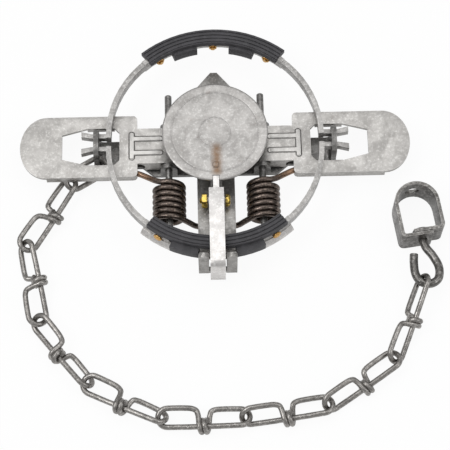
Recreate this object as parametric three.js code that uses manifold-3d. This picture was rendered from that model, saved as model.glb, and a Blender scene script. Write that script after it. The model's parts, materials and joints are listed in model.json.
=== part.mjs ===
// A set coil-spring foothold trap with rubber-faced jaws, its chain and its box swivel.
// Millimetres, +Z up. The origin is on the floor, under the middle of the base strip.
// +X runs towards the right lever, -Y towards the dog, which holds the front jaw down.

import * as THREE from 'three';
import { mergeVertices } from 'three/addons/utils/BufferGeometryUtils.js';
import Module from 'manifold-3d';

const wasm = await Module();
wasm.setup();

// General fits
const clearance = 0.3;          // between pieces that turn, or that are assembled face to face
const overrun = 1;              // how far a cutter passes the face that it opens
const roundSegments = 16;       // facets of a pin or a hole
const bendSteps = 4;            // facets of a folded corner

// The jaws' opening, which the posts, the rubber and the dog post follow
const jawInnerRadius = 62;
const jawThick = 3;
const jawOuterRadius = jawInnerRadius + jawThick;
const jawPivotOffset = 4.2;     // the two jaws pivot this far either side of the middle

// Base strip, which lies along X and turns up into the two jaw posts
const baseThick = 3;
const baseHalfWidth = 8.6;
const baseBend = 2.5;           // inside radius of the fold into a post
const postRoom = 4.5;           // between a jaw's bar and its post
const postInner = jawOuterRadius + postRoom;  // inner face of a jaw post, from the middle
const postTop = 24;
const postCrown = 5;            // radius of the post's top corners
const jawPivotHeight = 18.7;
const jawHoleRadius = 3.1;
const flareFront = 11.2;        // the left post's foot is wider, for the chain
const flareTop = 12.5;
const slotBack = 2.2;           // the slot for the first chain link
const slotFront = 8.4;
const slotLow = 6.6;
const slotHigh = 12;
const saddleHalfLength = 37;    // the wide middle of the strip, which carries the spring pins
const saddleHalfWidth = 14.5;
const saddleShoulder = 7;
const earThick = 2.5;
const earRadius = 5;

// Cross strip, which lies along Y over the base and turns up into the dog post
const crossHalfWidth = 11.25;
const crossThick = 2.8;
const crossApex = 52.8;         // blunt point at the back
const crossTaperStart = 41.8;
const crossApexHalfWidth = 2;
const crossRiseStart = 18;      // in front of here the strip rises, to pass over the spring arms
const crossRiseEnd = 26;
const crossRise = 1.2;
const padWall = 4.2;            // rubber on each side of a jaw's bar
const padOuterRadius = jawOuterRadius + padWall;
const dogPostRoom = 3.4;        // between the front jaw's rubber and the dog post
const dogPostOuter = jawPivotOffset + padOuterRadius + dogPostRoom + crossThick;
const dogPostTop = 34.5;
const dogPostCrown = 3;
const dogGateHalfWidth = 5.2;   // half the gate between the post's two ears
const dogGateFoot = 13.5;
const bridgeHeight = 9.5;       // middle of the bar that the dog hooks round
const bridgeHalfHeight = 1.8;
const rivetRadius = 2.6;
const rivetHeadRadius = 4.2;
const rivetHead = 1.2;
const rivetOffset = 6.2;
const panEarOffset = 3.7;       // inner faces of the two ears that carry the pan's bolt
const panEarThick = 1.4;
const panEarHalfLength = 4;

// Spring pins and the levers that turn on them
const pinX = 28;
const pinHeight = 10.6;
const pinRadius = 2.1;
const pinFront = 57;
const pinBack = 34.5;
const pinChamfer = 0.6;
const leverThick = 2;
const leverTop = 15;
const neckHalfWidth = 11.5;
const neckInner = 22.5;
const neckBottom = 5.4;
const shoulder = 46.7;          // where the neck widens
const leverHalfWidth = 20;
const leverTip = 117;
const leverRoundDepth = 16;
const leverFlange = 5.8;
const flangeWall = 1.8;
const leverCorner = 3;
const windowInner = 57.4;
const windowOuter = 91.8;
const windowHalfWidth = 12;
const windowBevel = 3;
const windowNarrow = 8;         // half width of the window's outer end
const windowTaper = 15;
const lipWall = 1.2;
const lipDrop = 2.6;
const notchRadius = 4.6;        // round notch in the neck's flange, over the spring arm
const ribRaise = 0.5;
const prongHalfWidth = 1.2;
const prongOffset = 4.6;
const prongInner = 33;
const crossRibX = 50;
const crossRibHalfWidth = 1.1;
const crossRibHalfLength = 8.4;

// Torsion springs
const springWire = 3.1;
const springOuterRadius = 10;
const springPitch = 3.65;
const springTurns = 6;
const springStepsPerTurn = 12;
const springSides = 6;
const springBack = 25;          // middle of the first turn, behind the front jaw
const outerArmDrop = 30;        // degrees past the top at which the outer arm leaves
const innerArmLeave = 55;       // degrees past the top at which the inner arm leaves
const outerArmLevel = 11;
const outerArmRun = 60;
const outerArmY = 15.4;
const innerArmEnd = 2;

// Jaws: half rings, each centred on its own pivot line
const jawBottom = 15.4;
const jawTop = 22;
const jawPadBottom = 14.2;      // the bar is deeper where the rubber grips it
const jawPadTop = 22.8;
const jawPadMargin = 3;         // degrees by which the deep part passes the rubber
const jawSegments = 32;
const tabThick = 2.8;
const tabHeight = 4.6;
const tabProud = 7.3;           // how far a tab stands out of its post
const tabSplay = 1.1;
const tabFlare = 0.5;

// Rubber faces
const padInnerRadius = jawInnerRadius - padWall;
const padHalfAngle = 39;        // degrees
const padBottom = 14.2;
const padTop = 25;
const padEdge = 1.3;            // bevel of the rubber's top edges
const padGrooves = 4;
const padGrooveWidth = 0.8;
const padGrooveDepth = 0.7;
const padFlapInnerAngle = 9.5;
const padFlapOuterAngle = 24;
const padSegments = 18;
const padBoltAngles = [-32, 0, 32];
const padBoltHeight = 17.4;
const padBoltRadius = 1.5;
const padBoltHeadRadius = 2.7;
const padBoltHead = 1.6;
const padFlapTop = padBoltHeight + padBoltHeadRadius + clearance;  // over the bolts' heads
const padNutHeight = 1.9;

// Pan, its shank and its bolt
const panRadius = 31.5;
const panCentreY = 2.5;
const panThick = 1.6;
const panTop = 27.6;
const panEdge = 0.4;
const panSegments = 56;
const panNotchDepth = 3.4;
const shankHalfWidth = 3.2;
const shankWall = 1.2;
const panRivetIn = 15;          // from the pan's back edge to its rivet
const panRivetY = panCentreY + panRadius - panRivetIn;
const shankBackReach = 9;       // from the rivet to the shank's end under the pan
const shankFrontReach = 4;      // from the rivet to where the shank leaves the pan
const shankBack = panRivetY - shankBackReach;
const shankFront = panRivetY + shankFrontReach;
const shankDepth = 4.2;
const panPivotY = 36;
const panPivotZ = 13.4;
const panBoltRadius = 1.7;
const panBoltHeadRadius = 3.75;
const panBoltHead = 3;
const panNutRadius = 4.6;
const panNutThick = 3.4;
const panBoltProud = 1.3;
const shankBoss = 3.9;
const panRivetRadius = 1.5;
const panRivetHead = 0.6;

// Dog: a strip that hooks round the bridge of its post and reaches over the front jaw
const dogHalfWidth = 4.4;
const dogThick = 2.2;
const tongueHalfWidth = 1.75;
const tongueHold = 2.9;         // how far the tongue reaches into the pan's notch
const tongueTip = panRadius - panCentreY - tongueHold;
const tongueLength = 7.4;
const tongueRoot = tongueTip + tongueLength;
const tongueUnder = 25.5;       // underside of the tongue, in the pan's notch
const dogUnderOuter = 28.4;     // underside of the strip where it passes its post
const dogEyeInner = 3.7;        // inside radius of the hook round the bridge
const dogBend = 2.4;
const dogEyeWrap = 250;         // degrees that the hook wraps

// Chain
const chainWire = 3.1;
const chainSides = 6;
const connectorReach = 17.8;    // how far the first ring reaches out past the post's inner face
const chainStartOut = postInner + connectorReach;  // where the chain leaves that ring
const chainStartFront = 18.9;   // and to the front
const chainLevel = 5.6;
const chainStartLevel = 5.1;
const linkPitch = 47.6;
const linkHeadings = [-122.9, -80.1, -52.8, -27.2, -0.7, 7.6, 34.2, 66.9];
const linkShankSides = [1, 1, -1, -1, -1, -1, -1, -1];
const loopHalfWidth = 4.8;
const loopRoll = 36;            // degrees that each half of a link is rolled
const startRoll = 30;           // the same where the chain runs under the lever
const hookLoopRoll = 82;        // the last loop stands on edge round the hook
const loopOverlap = 2.3;        // how far a bow's middle line passes the joint with its neighbour
const knotGap = 0.3;
const knotTurns = 1.1;
const bowSteps = 7;
const knotSteps = 9;
const rodBellyShares = [0.62, 0.86];  // where a loop's upper rod turns in to the knot
const connectorFront = 9.8;
const connectorLevel = 7;
const connectorOverlap = 5.5;   // past the post's edge, which the first ring is hooked round

// Swivel hook and box
const hookRod = 5;
const hookLevel = 9.5;
const hookSides = 8;
const hookBow = 7.2;
const hookBowAside = 1.5;
const hookBowBelow = 20.2;
const hookEndShares = [0.93, 0.78];     // how far across the bow its open end stands
const hookNeckShare = 1 / 6;            // how far the shank leans over as it leaves the box
const hookCheekShare = 1 / 3;           // how far past its middle the bow is widest
const hookGripAngle = -5;       // from the last link's heading to the middle of the bow
const hookOverlap = 4.45;       // the last loop passes the hook's rod by this much
const hookSteps = 34;
const hookHeadRadius = 5.2;
const hookHeadThick = 2.6;
const boxHeading = 98;          // degrees from +X to the box's long axis
const boxHalfWidth = 13.25;
const boxLength = 34;
const boxStrap = 19;
const boxThick = 2;
const boxLow = 0.3;
const boxCorner = 2.5;
const boxLap = 5.5;             // how far each lapped end passes the middle
const boxEyeHalfWidth = 4.4;
const boxEyeHalfHeight = 3;

// Materials
function metal(color, roughness) {
  return new THREE.MeshStandardMaterial({ color, roughness, metalness: 0.9 });
}
const wornSteel = metal(0xb3b0ab, 0.5);
const brightSteel = metal(0xd8d4d0, 0.35);
const darkSteel = metal(0x6e6c6a, 0.55);
const springSteel = metal(0x3b322d, 0.5);
const chainSteel = metal(0x77746f, 0.5);
const brass = metal(0xc9a53a, 0.35);
const bronze = metal(0xb98748, 0.35);
const rubber = new THREE.MeshStandardMaterial({ color: 0x3a3c42, roughness: 0.75, metalness: 0 });

// From a closed three.js geometry to a solid that can be joined and cut, and back
function solidOf(geometry) {
  const bare = geometry.clone();
  bare.deleteAttribute('normal');
  bare.deleteAttribute('uv');
  const merged = mergeVertices(bare);
  return new wasm.Manifold(new wasm.Mesh({
    numProp: 3,
    vertProperties: new Float32Array(merged.attributes.position.array),
    triVerts: new Uint32Array(merged.index.array),
  }));
}

function geometryOf(solid) {
  const mesh = solid.getMesh();
  const geometry = new THREE.BufferGeometry();
  geometry.setAttribute('position', new THREE.BufferAttribute(mesh.vertProperties, 3));
  geometry.setIndex(new THREE.BufferAttribute(mesh.triVerts, 1));
  geometry.computeVertexNormals();
  return geometry;
}

const trap = new THREE.Group();

function add(name, solid, material) {
  const mesh = new THREE.Mesh(geometryOf(solid), material);
  mesh.name = name;
  trap.add(mesh);
  return mesh;
}

// Basic solids
function block(xs, ys, zs) {
  const box = new THREE.BoxGeometry(xs[1] - xs[0], ys[1] - ys[0], zs[1] - zs[0]);
  box.translate((xs[0] + xs[1]) / 2, (ys[0] + ys[1]) / 2, (zs[0] + zs[1]) / 2);
  return solidOf(box);
}

// A rod from one point to another; sides of 6 makes a hexagon
function rod(from, to, radius, sides = roundSegments, endRadius = radius) {
  const start = new THREE.Vector3(...from);
  const way = new THREE.Vector3(...to).sub(start);
  const cylinder = new THREE.CylinderGeometry(endRadius, radius, way.length(), sides);
  const turn = new THREE.Quaternion().setFromUnitVectors(
    new THREE.Vector3(0, 1, 0), way.clone().normalize());
  cylinder.applyQuaternion(turn);
  cylinder.translate(...start.addScaledVector(way, 0.5).toArray());
  return solidOf(cylinder);
}

function shapeOf(points) {
  return new THREE.Shape(points.map(([a, b]) => new THREE.Vector2(a, b)));
}

function extrude(shape, depth, curveSegments) {
  return new THREE.ExtrudeGeometry(shape, { depth, bevelEnabled: false, curveSegments });
}

// An outline in X and Y, between two heights
function plate(shape, low, high, curveSegments = roundSegments) {
  return solidOf(extrude(shape, high - low, curveSegments).translate(0, 0, low));
}

// An outline in Y and Z, between two values of X
function sidePlate(shape, left, right, curveSegments = roundSegments) {
  const turn = new THREE.Matrix4().makeBasis(
    new THREE.Vector3(0, 1, 0), new THREE.Vector3(0, 0, 1), new THREE.Vector3(1, 0, 0));
  const body = extrude(shape, right - left, curveSegments).applyMatrix4(turn);
  return solidOf(body.translate(left, 0, 0));
}

// An outline in X and Z, between two values of Y
function frontPlate(shape, front, back, curveSegments = roundSegments) {
  const turn = new THREE.Matrix4().makeBasis(
    new THREE.Vector3(1, 0, 0), new THREE.Vector3(0, 0, 1), new THREE.Vector3(0, -1, 0));
  const body = extrude(shape, back - front, curveSegments).applyMatrix4(turn);
  return solidOf(body.translate(0, back, 0));
}

// The corners of a line rounded to a radius, for the middle line of a folded strip
function roundedLine(points, radius) {
  const line = [points[0]];
  for (let i = 1; i < points.length - 1; i += 1) {
    const corner = new THREE.Vector2(...points[i]);
    const back = new THREE.Vector2(...points[i - 1]).sub(corner);
    const on = new THREE.Vector2(...points[i + 1]).sub(corner);
    const half = Math.abs(back.angleTo(on)) / 2;
    const reach = Math.min(radius / Math.tan(half), back.length() / 2, on.length() / 2);
    const start = corner.clone().addScaledVector(back.normalize(), reach);
    const end = corner.clone().addScaledVector(on.normalize(), reach);
    const curve = new THREE.QuadraticBezierCurve(start, corner, end);
    line.push(...curve.getPoints(bendSteps).map((p) => p.toArray()));
  }
  line.push(points[points.length - 1]);
  return line;
}

// The outline of a strip of one thickness that follows a line
function stripShape(line, thick) {
  const points = line.map((p) => new THREE.Vector2(...p));
  const sides = [[], []];
  points.forEach((point, i) => {
    const before = point.clone().sub(points[Math.max(i - 1, 0)]).normalize();
    const after = points[Math.min(i + 1, points.length - 1)].clone().sub(point).normalize();
    const along = before.clone().add(after).normalize();
    const straight = before.length() > 0 ? before : after;
    const stretch = along.dot(straight);
    const normal = new THREE.Vector2(-along.y, along.x).multiplyScalar(thick / 2 / stretch);
    sides[0].push(point.clone().sub(normal));
    sides[1].unshift(point.clone().add(normal));
  });
  return new THREE.Shape([...sides[0], ...sides[1]]);
}

// A ring or part of one about (0, centreY), seen from above, angles in degrees
function sector(inner, outer, from, to, centreY, segments) {
  const points = [];
  for (let i = 0; i <= segments; i += 1) {
    const angle = THREE.MathUtils.degToRad(from + (to - from) * i / segments);
    points.push([outer * Math.cos(angle), centreY + outer * Math.sin(angle)]);
  }
  for (let i = segments; i >= 0; i -= 1) {
    const angle = THREE.MathUtils.degToRad(from + (to - from) * i / segments);
    points.push([inner * Math.cos(angle), centreY + inner * Math.sin(angle)]);
  }
  return shapeOf(points);
}

// Round wire along points, as a closed skin with flat ends, or as a ring with none
function wire(points, radius, sides, closed = false) {
  const count = points.length;
  const tangent = (i) => {
    const next = closed ? (i + 1) % count : Math.min(i + 1, count - 1);
    const last = closed ? (i + count - 1) % count : Math.max(i - 1, 0);
    return points[next].clone().sub(points[last]).normalize();
  };
  const first = tangent(0);
  const upright = Math.abs(first.z) < Math.SQRT1_2;
  const reference = upright ? new THREE.Vector3(0, 0, 1) : new THREE.Vector3(1, 0, 0);
  const normals = [reference.addScaledVector(first, -reference.dot(first)).normalize()];
  for (let i = 1; i < count; i += 1) {
    const turn = new THREE.Quaternion().setFromUnitVectors(tangent(i - 1), tangent(i));
    normals.push(normals[i - 1].clone().applyQuaternion(turn));
  }
  let twist = 0;
  if (closed) {
    const turn = new THREE.Quaternion().setFromUnitVectors(tangent(count - 1), first);
    const carried = normals[count - 1].clone().applyQuaternion(turn);
    const across = new THREE.Vector3().crossVectors(carried, normals[0]);
    twist = Math.atan2(across.dot(first), carried.dot(normals[0]));
  }
  const positions = [];
  points.forEach((point, i) => {
    const along = tangent(i);
    const normal = normals[i].clone().applyAxisAngle(along, twist * i / count);
    const side = new THREE.Vector3().crossVectors(along, normal);
    for (let k = 0; k < sides; k += 1) {
      const angle = 2 * Math.PI * k / sides;
      const place = point.clone().addScaledVector(normal, radius * Math.cos(angle));
      positions.push(...place.addScaledVector(side, radius * Math.sin(angle)).toArray());
    }
  });
  const triangles = [];
  const lengths = closed ? count : count - 1;
  for (let i = 0; i < lengths; i += 1) {
    for (let k = 0; k < sides; k += 1) {
      const a = i * sides + k;
      const b = i * sides + (k + 1) % sides;
      const c = ((i + 1) % count) * sides + (k + 1) % sides;
      const d = ((i + 1) % count) * sides + k;
      triangles.push(a, b, c, a, c, d);
    }
  }
  if (!closed) {
    const far = (count - 1) * sides;
    for (let k = 1; k < sides - 1; k += 1) {
      triangles.push(0, k + 1, k, far, far + k, far + k + 1);
    }
  }
  const geometry = new THREE.BufferGeometry();
  geometry.setAttribute('position', new THREE.Float32BufferAttribute(positions, 3));
  geometry.setIndex(triangles);
  return solidOf(geometry);
}

const mirrored = [1, -1];

// Base strip with its jaw posts, saddle and pin ears
function makeBase() {
  const line = roundedLine([
    [-postInner - baseThick / 2, postTop], [-postInner - baseThick / 2, baseThick / 2],
    [postInner + baseThick / 2, baseThick / 2], [postInner + baseThick / 2, postTop],
  ], baseBend + baseThick / 2);
  let base = frontPlate(stripShape(line, baseThick), -baseHalfWidth, baseHalfWidth);
  const saddle = shapeOf([
    [-saddleHalfLength - saddleShoulder, -baseHalfWidth], [-saddleHalfLength, -saddleHalfWidth],
    [saddleHalfLength, -saddleHalfWidth], [saddleHalfLength + saddleShoulder, -baseHalfWidth],
    [saddleHalfLength + saddleShoulder, baseHalfWidth], [saddleHalfLength, saddleHalfWidth],
    [-saddleHalfLength, saddleHalfWidth], [-saddleHalfLength - saddleShoulder, baseHalfWidth],
  ]);
  base = base.add(plate(saddle, 0, baseThick));
  const postOuter = postInner + baseThick;
  base = base.add(sidePlate(shapeOf([
    [-flareFront, baseThick], [-baseHalfWidth, 0], [0, 0], [0, flareTop + baseThick],
    [-baseHalfWidth, flareTop + baseThick], [-flareFront, flareTop],
  ]), -postOuter, -postInner));
  const crown = new THREE.Shape();
  const side = baseHalfWidth + overrun;
  crown.moveTo(-side, postTop + overrun);
  crown.lineTo(-side, postTop - postCrown);
  crown.lineTo(-baseHalfWidth, postTop - postCrown);
  crown.absarc(postCrown - baseHalfWidth, postTop - postCrown, postCrown, Math.PI, Math.PI / 2, true);
  crown.absarc(baseHalfWidth - postCrown, postTop - postCrown, postCrown, Math.PI / 2, 0, true);
  crown.lineTo(side, postTop - postCrown);
  crown.lineTo(side, postTop + overrun);
  for (const end of mirrored) {
    const faces = [end * (postInner - overrun), end * (postOuter + overrun)].sort((a, b) => a - b);
    base = base.subtract(sidePlate(crown, faces[0], faces[1], bendSteps));
    for (const way of mirrored) {
      const y = way * jawPivotOffset;
      base = base.subtract(rod([faces[0], y, jawPivotHeight], [faces[1], y, jawPivotHeight],
        jawHoleRadius));
      const earX = end * pinX;
      const earY = way * (saddleHalfWidth - earThick / 2);
      const inside = way * (saddleHalfWidth - earThick);
      const ys = [inside, way * saddleHalfWidth].sort((a, b) => a - b);
      const ear = block([earX - earRadius, earX + earRadius], ys, [0, pinHeight])
        .add(rod([earX, ys[0], pinHeight], [earX, ys[1], pinHeight], earRadius));
      const hole = rod([earX, earY - earThick, pinHeight], [earX, earY + earThick, pinHeight],
        pinRadius + clearance);
      base = base.add(ear).subtract(hole);
    }
  }
  const slot = block([-postOuter - overrun, -postInner + overrun], [-slotFront, -slotBack],
    [slotLow, slotHigh]);
  base = base.subtract(slot);
  for (const end of mirrored) {
    const x = end * rivetOffset;
    base = base.subtract(rod([x, 0, -overrun], [x, 0, baseThick + overrun],
      rivetRadius + clearance));
  }
  return base;
}
add('base_strip', makeBase(), darkSteel);

// Cross strip with its dog post and the ears for the pan's bolt
const crossLow = baseThick + clearance;
const crossFrontLow = crossLow + crossRise;
const dogPostMiddle = dogPostOuter - crossThick / 2;

function makeCrossStrip() {
  const middle = crossLow + crossThick / 2;
  const line = [
    [crossApex, middle], [-crossRiseStart, middle], [-crossRiseEnd, middle + crossRise],
    ...roundedLine([[-crossRiseEnd, middle + crossRise], [-dogPostMiddle, middle + crossRise],
      [-dogPostMiddle, dogPostTop]], crossThick).slice(1),
  ];
  let strip = sidePlate(stripShape(line, crossThick), -crossHalfWidth, crossHalfWidth);
  for (const way of mirrored) {
    const corner = shapeOf([
      [way * crossApexHalfWidth, crossApex + overrun], [way * crossApexHalfWidth, crossApex],
      [way * crossHalfWidth, crossTaperStart], [way * (crossHalfWidth + overrun), crossTaperStart],
      [way * (crossHalfWidth + overrun), crossApex + overrun],
    ]);
    strip = strip.subtract(plate(corner, 0, crossLow + crossThick + overrun));
  }
  const front = -dogPostOuter - overrun;
  const back = -dogPostOuter + crossThick + overrun;
  const gateLow = bridgeHeight + dogEyeInner + dogThick;
  const gateFoot = Math.max(gateLow, dogGateFoot);
  strip = strip.subtract(block([-dogGateHalfWidth, dogGateHalfWidth], [front, back],
    [gateFoot, dogPostTop + overrun]));
  strip = strip.subtract(block([-dogGateHalfWidth, dogGateHalfWidth],
    [front, back + dogEyeInner + dogThick], [0, bridgeHeight - bridgeHalfHeight]));
  strip = strip.subtract(block([-dogGateHalfWidth, dogGateHalfWidth], [front, back],
    [bridgeHeight + bridgeHalfHeight, gateFoot + overrun]));
  for (const way of mirrored) {
    const inner = way * dogGateHalfWidth;
    const outer = way * crossHalfWidth;
    const span = [inner, outer].sort((a, b) => a - b);
    const crown = new THREE.Shape();
    crown.moveTo(span[0] - overrun, dogPostTop + overrun);
    crown.lineTo(span[0] - overrun, dogPostTop - dogPostCrown);
    crown.lineTo(span[0], dogPostTop - dogPostCrown);
    const centres = [span[0] + dogPostCrown, span[1] - dogPostCrown];
    crown.absarc(centres[0], dogPostTop - dogPostCrown, dogPostCrown, Math.PI, Math.PI / 2, true);
    crown.absarc(centres[1], dogPostTop - dogPostCrown, dogPostCrown, Math.PI / 2, 0, true);
    crown.lineTo(span[1] + overrun, dogPostTop - dogPostCrown);
    crown.lineTo(span[1] + overrun, dogPostTop + overrun);
    strip = strip.subtract(frontPlate(crown, front, back, bendSteps));
    const earIn = way * panEarOffset;
    const earOut = way * (panEarOffset + panEarThick);
    const earXs = [earIn, earOut].sort((a, b) => a - b);
    const low = crossFrontLow + crossThick / 2;
    const reach = [-panPivotY - panEarHalfLength, -panPivotY + panEarHalfLength];
    strip = strip.add(block(earXs, reach, [low, panPivotZ])
      .add(rod([earXs[0], -panPivotY, panPivotZ], [earXs[1], -panPivotY, panPivotZ],
        panEarHalfLength)));
  }
  const boltReach = panEarOffset + panEarThick + overrun;
  strip = strip.subtract(rod([-boltReach, -panPivotY, panPivotZ],
    [boltReach, -panPivotY, panPivotZ], panBoltRadius + clearance));
  for (const end of mirrored) {
    const x = end * rivetOffset;
    strip = strip.subtract(rod([x, 0, crossLow - overrun], [x, 0, crossLow + crossThick + overrun],
      rivetRadius + clearance));
  }
  return strip;
}
add('cross_strip', makeCrossStrip(), darkSteel);

// Two rivets hold the cross strip down on the base
mirrored.forEach((end, i) => {
  const x = end * rivetOffset;
  const top = crossLow + crossThick + clearance;
  const shank = rod([x, 0, clearance], [x, 0, top + rivetHead / 2], rivetRadius);
  const head = rod([x, 0, top], [x, 0, top + rivetHead], rivetHeadRadius, roundSegments,
    rivetHeadRadius - rivetHead);
  add(['rivet_right', 'rivet_left'][i], shank.add(head), darkSteel);
});

// Spring pins
mirrored.forEach((end, i) => {
  const x = end * pinX;
  const inner = rod([x, -pinFront, pinHeight], [x, pinBack, pinHeight], pinRadius);
  const nose = rod([x, pinBack, pinHeight], [x, pinBack + pinChamfer, pinHeight], pinRadius,
    roundSegments, pinRadius - pinChamfer);
  add(['spring_pin_right', 'spring_pin_left'][i], inner.add(nose), chainSteel);
});

// Lever, drawn for the right side
function leverOutline(inset) {
  const shape = new THREE.Shape();
  const wide = leverHalfWidth - inset;
  const neck = neckHalfWidth - inset;
  const start = shoulder + inset;
  const turn = leverTip - leverRoundDepth;
  shape.moveTo(neckInner, -neck);
  shape.lineTo(start, -neck);
  shape.lineTo(start, -wide + leverCorner);
  shape.quadraticCurveTo(start, -wide, start + leverCorner, -wide);
  shape.lineTo(turn, -wide);
  shape.absellipse(turn, 0, leverRoundDepth, wide, -Math.PI / 2, Math.PI / 2, false);
  shape.lineTo(start + leverCorner, wide);
  shape.quadraticCurveTo(start, wide, start, wide - leverCorner);
  shape.lineTo(start, neck);
  shape.lineTo(neckInner, neck);
  return shape;
}

function leverWindow(grow) {
  const long = windowHalfWidth + grow;
  const inner = windowInner - grow;
  const outer = windowOuter + grow;
  return shapeOf([
    [inner, windowBevel - long], [inner + windowBevel, -long],
    [outer - windowTaper, -long], [outer, -windowNarrow - grow],
    [outer, windowNarrow + grow], [outer - windowTaper, long],
    [inner + windowBevel, long], [inner, long - windowBevel],
  ]);
}

function makeLever() {
  const under = leverTop - leverThick;
  const flangeLow = leverTop - leverFlange;
  let lever = plate(leverOutline(0), flangeLow, leverTop);
  const pocketEnd = leverTip + overrun;
  const pocket = plate(leverOutline(flangeWall), flangeLow - overrun, under)
    .add(block([leverTip - leverRoundDepth, pocketEnd], [-leverHalfWidth, leverHalfWidth],
      [flangeLow - overrun, under]))
    .add(block([neckInner - overrun, shoulder + leverCorner],
      [flangeWall - neckHalfWidth, neckHalfWidth - flangeWall], [flangeLow - overrun, under]))
    .add(block([shoulder - overrun, shoulder + flangeWall + leverCorner],
      [flangeWall - leverHalfWidth, leverHalfWidth - flangeWall],
      [flangeLow - overrun, under]));
  lever = lever.subtract(pocket);
  for (const way of mirrored) {
    const faces = [way * (neckHalfWidth - flangeWall), way * neckHalfWidth].sort((a, b) => a - b);
    const web = new THREE.Shape();
    web.moveTo(neckInner, under);
    web.lineTo(neckInner, pinHeight);
    web.absarc(pinX, pinHeight, pinHeight - neckBottom, Math.PI, 1.5 * Math.PI, false);
    web.lineTo(shoulder - notchRadius, neckBottom);
    web.lineTo(shoulder - overrun / 2, flangeLow);
    web.lineTo(shoulder - overrun / 2, under);
    const notch = rod([shoulder, faces[0] - overrun, flangeLow],
      [shoulder, faces[1] + overrun, flangeLow], notchRadius);
    const hole = rod([pinX, faces[0] - overrun, pinHeight],
      [pinX, faces[1] + overrun, pinHeight], pinRadius + clearance);
    lever = lever.add(frontPlate(web, faces[0], faces[1])).subtract(notch).subtract(hole);
    lever = lever.add(block([prongInner, crossRibX],
      [way * prongOffset - prongHalfWidth, way * prongOffset + prongHalfWidth],
      [under, leverTop + ribRaise]));
  }
  const lip = plate(leverWindow(lipWall), under - lipDrop, under + leverThick / 2)
    .intersect(block([windowInner + windowBevel, windowOuter - windowTaper],
      [-leverHalfWidth, leverHalfWidth], [0, leverTop]));
  lever = lever.add(lip);
  lever = lever.add(block([crossRibX - crossRibHalfWidth, crossRibX + crossRibHalfWidth],
    [-crossRibHalfLength, crossRibHalfLength], [under, leverTop + ribRaise]));
  return lever.subtract(plate(leverWindow(0), 0, leverTop + overrun));
}
const lever = makeLever();
add('lever_right', lever, wornSteel);
add('lever_left', lever, wornSteel).rotation.z = Math.PI;

// Torsion spring: the outer arm pushes the lever up, the inner arm bears under the cross strip
function springLine(end) {
  const radius = springOuterRadius - springWire / 2;
  const turned = springTurns * 360 + innerArmLeave + outerArmDrop;
  const steps = Math.round(turned / 360 * springStepsPerTurn);
  const points = [];
  const place = (x, y, z) => points.push(new THREE.Vector3(end * x, y, z));
  const leave = THREE.MathUtils.degToRad(90 - outerArmDrop);
  const start = [pinX + radius * Math.cos(leave), pinHeight + radius * Math.sin(leave)];
  const fall = start[1] - outerArmLevel;
  const level = start[0] + fall / Math.tan(THREE.MathUtils.degToRad(outerArmDrop));
  const armY = -outerArmY;
  place(outerArmRun, armY, outerArmLevel);
  place((level + outerArmRun) / 2, armY, outerArmLevel);
  place(level, armY, outerArmLevel + springWire / 8);
  place((start[0] + level) / 2, (armY - springBack) / 2, outerArmLevel + fall / 2);
  for (let i = 0; i <= steps; i += 1) {
    const degrees = 90 - outerArmDrop + turned * i / steps;
    const angle = THREE.MathUtils.degToRad(degrees);
    const y = -springBack - springPitch * turned / 360 * i / steps;
    place(pinX + radius * Math.cos(angle), y, pinHeight + radius * Math.sin(angle));
  }
  const last = points[points.length - 1];
  const bottom = springWire / 2 + clearance;
  const run = (last.z - bottom) / Math.tan(THREE.MathUtils.degToRad(innerArmLeave));
  const foot = Math.abs(last.x) - run;
  place((Math.abs(last.x) + foot) / 2, last.y, (last.z + bottom) / 2);
  place(foot, last.y, bottom + springWire / 8);
  place(innerArmEnd + springWire / 2, last.y, bottom);
  return points;
}
// Least gap of a wire to itself, between stretches of its route further apart than two wires
function leastGap(points, thickness) {
  const travelled = [0];
  for (let i = 1; i < points.length; i += 1) {
    travelled.push(travelled[i - 1] + points[i].distanceTo(points[i - 1]));
  }
  let least = Infinity;
  const foot = new THREE.Vector3();
  points.forEach((point, i) => {
    for (let k = 1; k < points.length; k += 1) {
      const apart = Math.min(Math.abs(travelled[i] - travelled[k]),
        Math.abs(travelled[i] - travelled[k - 1]));
      if (apart > 2 * thickness) {
        new THREE.Line3(points[k - 1], points[k]).closestPointToPoint(point, true, foot);
        least = Math.min(least, foot.distanceTo(point) - thickness);
      }
    }
  });
  return least;
}
mirrored.forEach((end, i) => {
  const route = springLine(end);
  const spring = wire(route, springWire / 2, springSides);
  console.log('least gap inside spring', i + 1, leastGap(route, springWire).toFixed(2), 'mm');
  add(['spring_right', 'spring_left'][i], spring, springSteel);
});

// Jaw, drawn for the front; the back one is the same piece turned half round
function makeJaw() {
  const centreY = -jawPivotOffset;
  const outer = jawInnerRadius + jawThick;
  const deep = padHalfAngle + jawPadMargin;
  let jaw = plate(sector(jawInnerRadius, outer, 180, 360, centreY, jawSegments), jawBottom, jawTop);
  jaw = jaw.add(plate(sector(jawInnerRadius, outer, 270 - deep, 270 + deep, centreY,
    jawSegments / 2), jawPadBottom, jawPadTop));
  const tabLow = jawPivotHeight - tabHeight / 2;
  const half = tabThick / 2;
  const bend = postInner + baseThick + overrun;
  const tip = postInner + baseThick + tabProud;
  for (const end of mirrored) {
    const heel = [end * jawInnerRadius, end * outer].sort((a, b) => a - b);
    jaw = jaw.add(block(heel, [centreY, centreY + half], [jawBottom, jawTop]));
    const tab = [
      [end * jawInnerRadius, centreY - half], [end * bend, centreY - half],
      [end * tip, centreY - half - tabSplay - tabFlare], [end * tip, centreY + half - tabSplay],
      [end * bend, centreY + half], [end * jawInnerRadius, centreY + half],
    ];
    jaw = jaw.add(plate(shapeOf(tab), tabLow, tabLow + tabHeight));
  }
  for (const degrees of padBoltAngles) {
    const [from, to] = padBoltSpan(degrees, jawInnerRadius - overrun, outer + overrun);
    jaw = jaw.subtract(rod(from, to, padBoltRadius + clearance));
  }
  return jaw;
}

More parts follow.
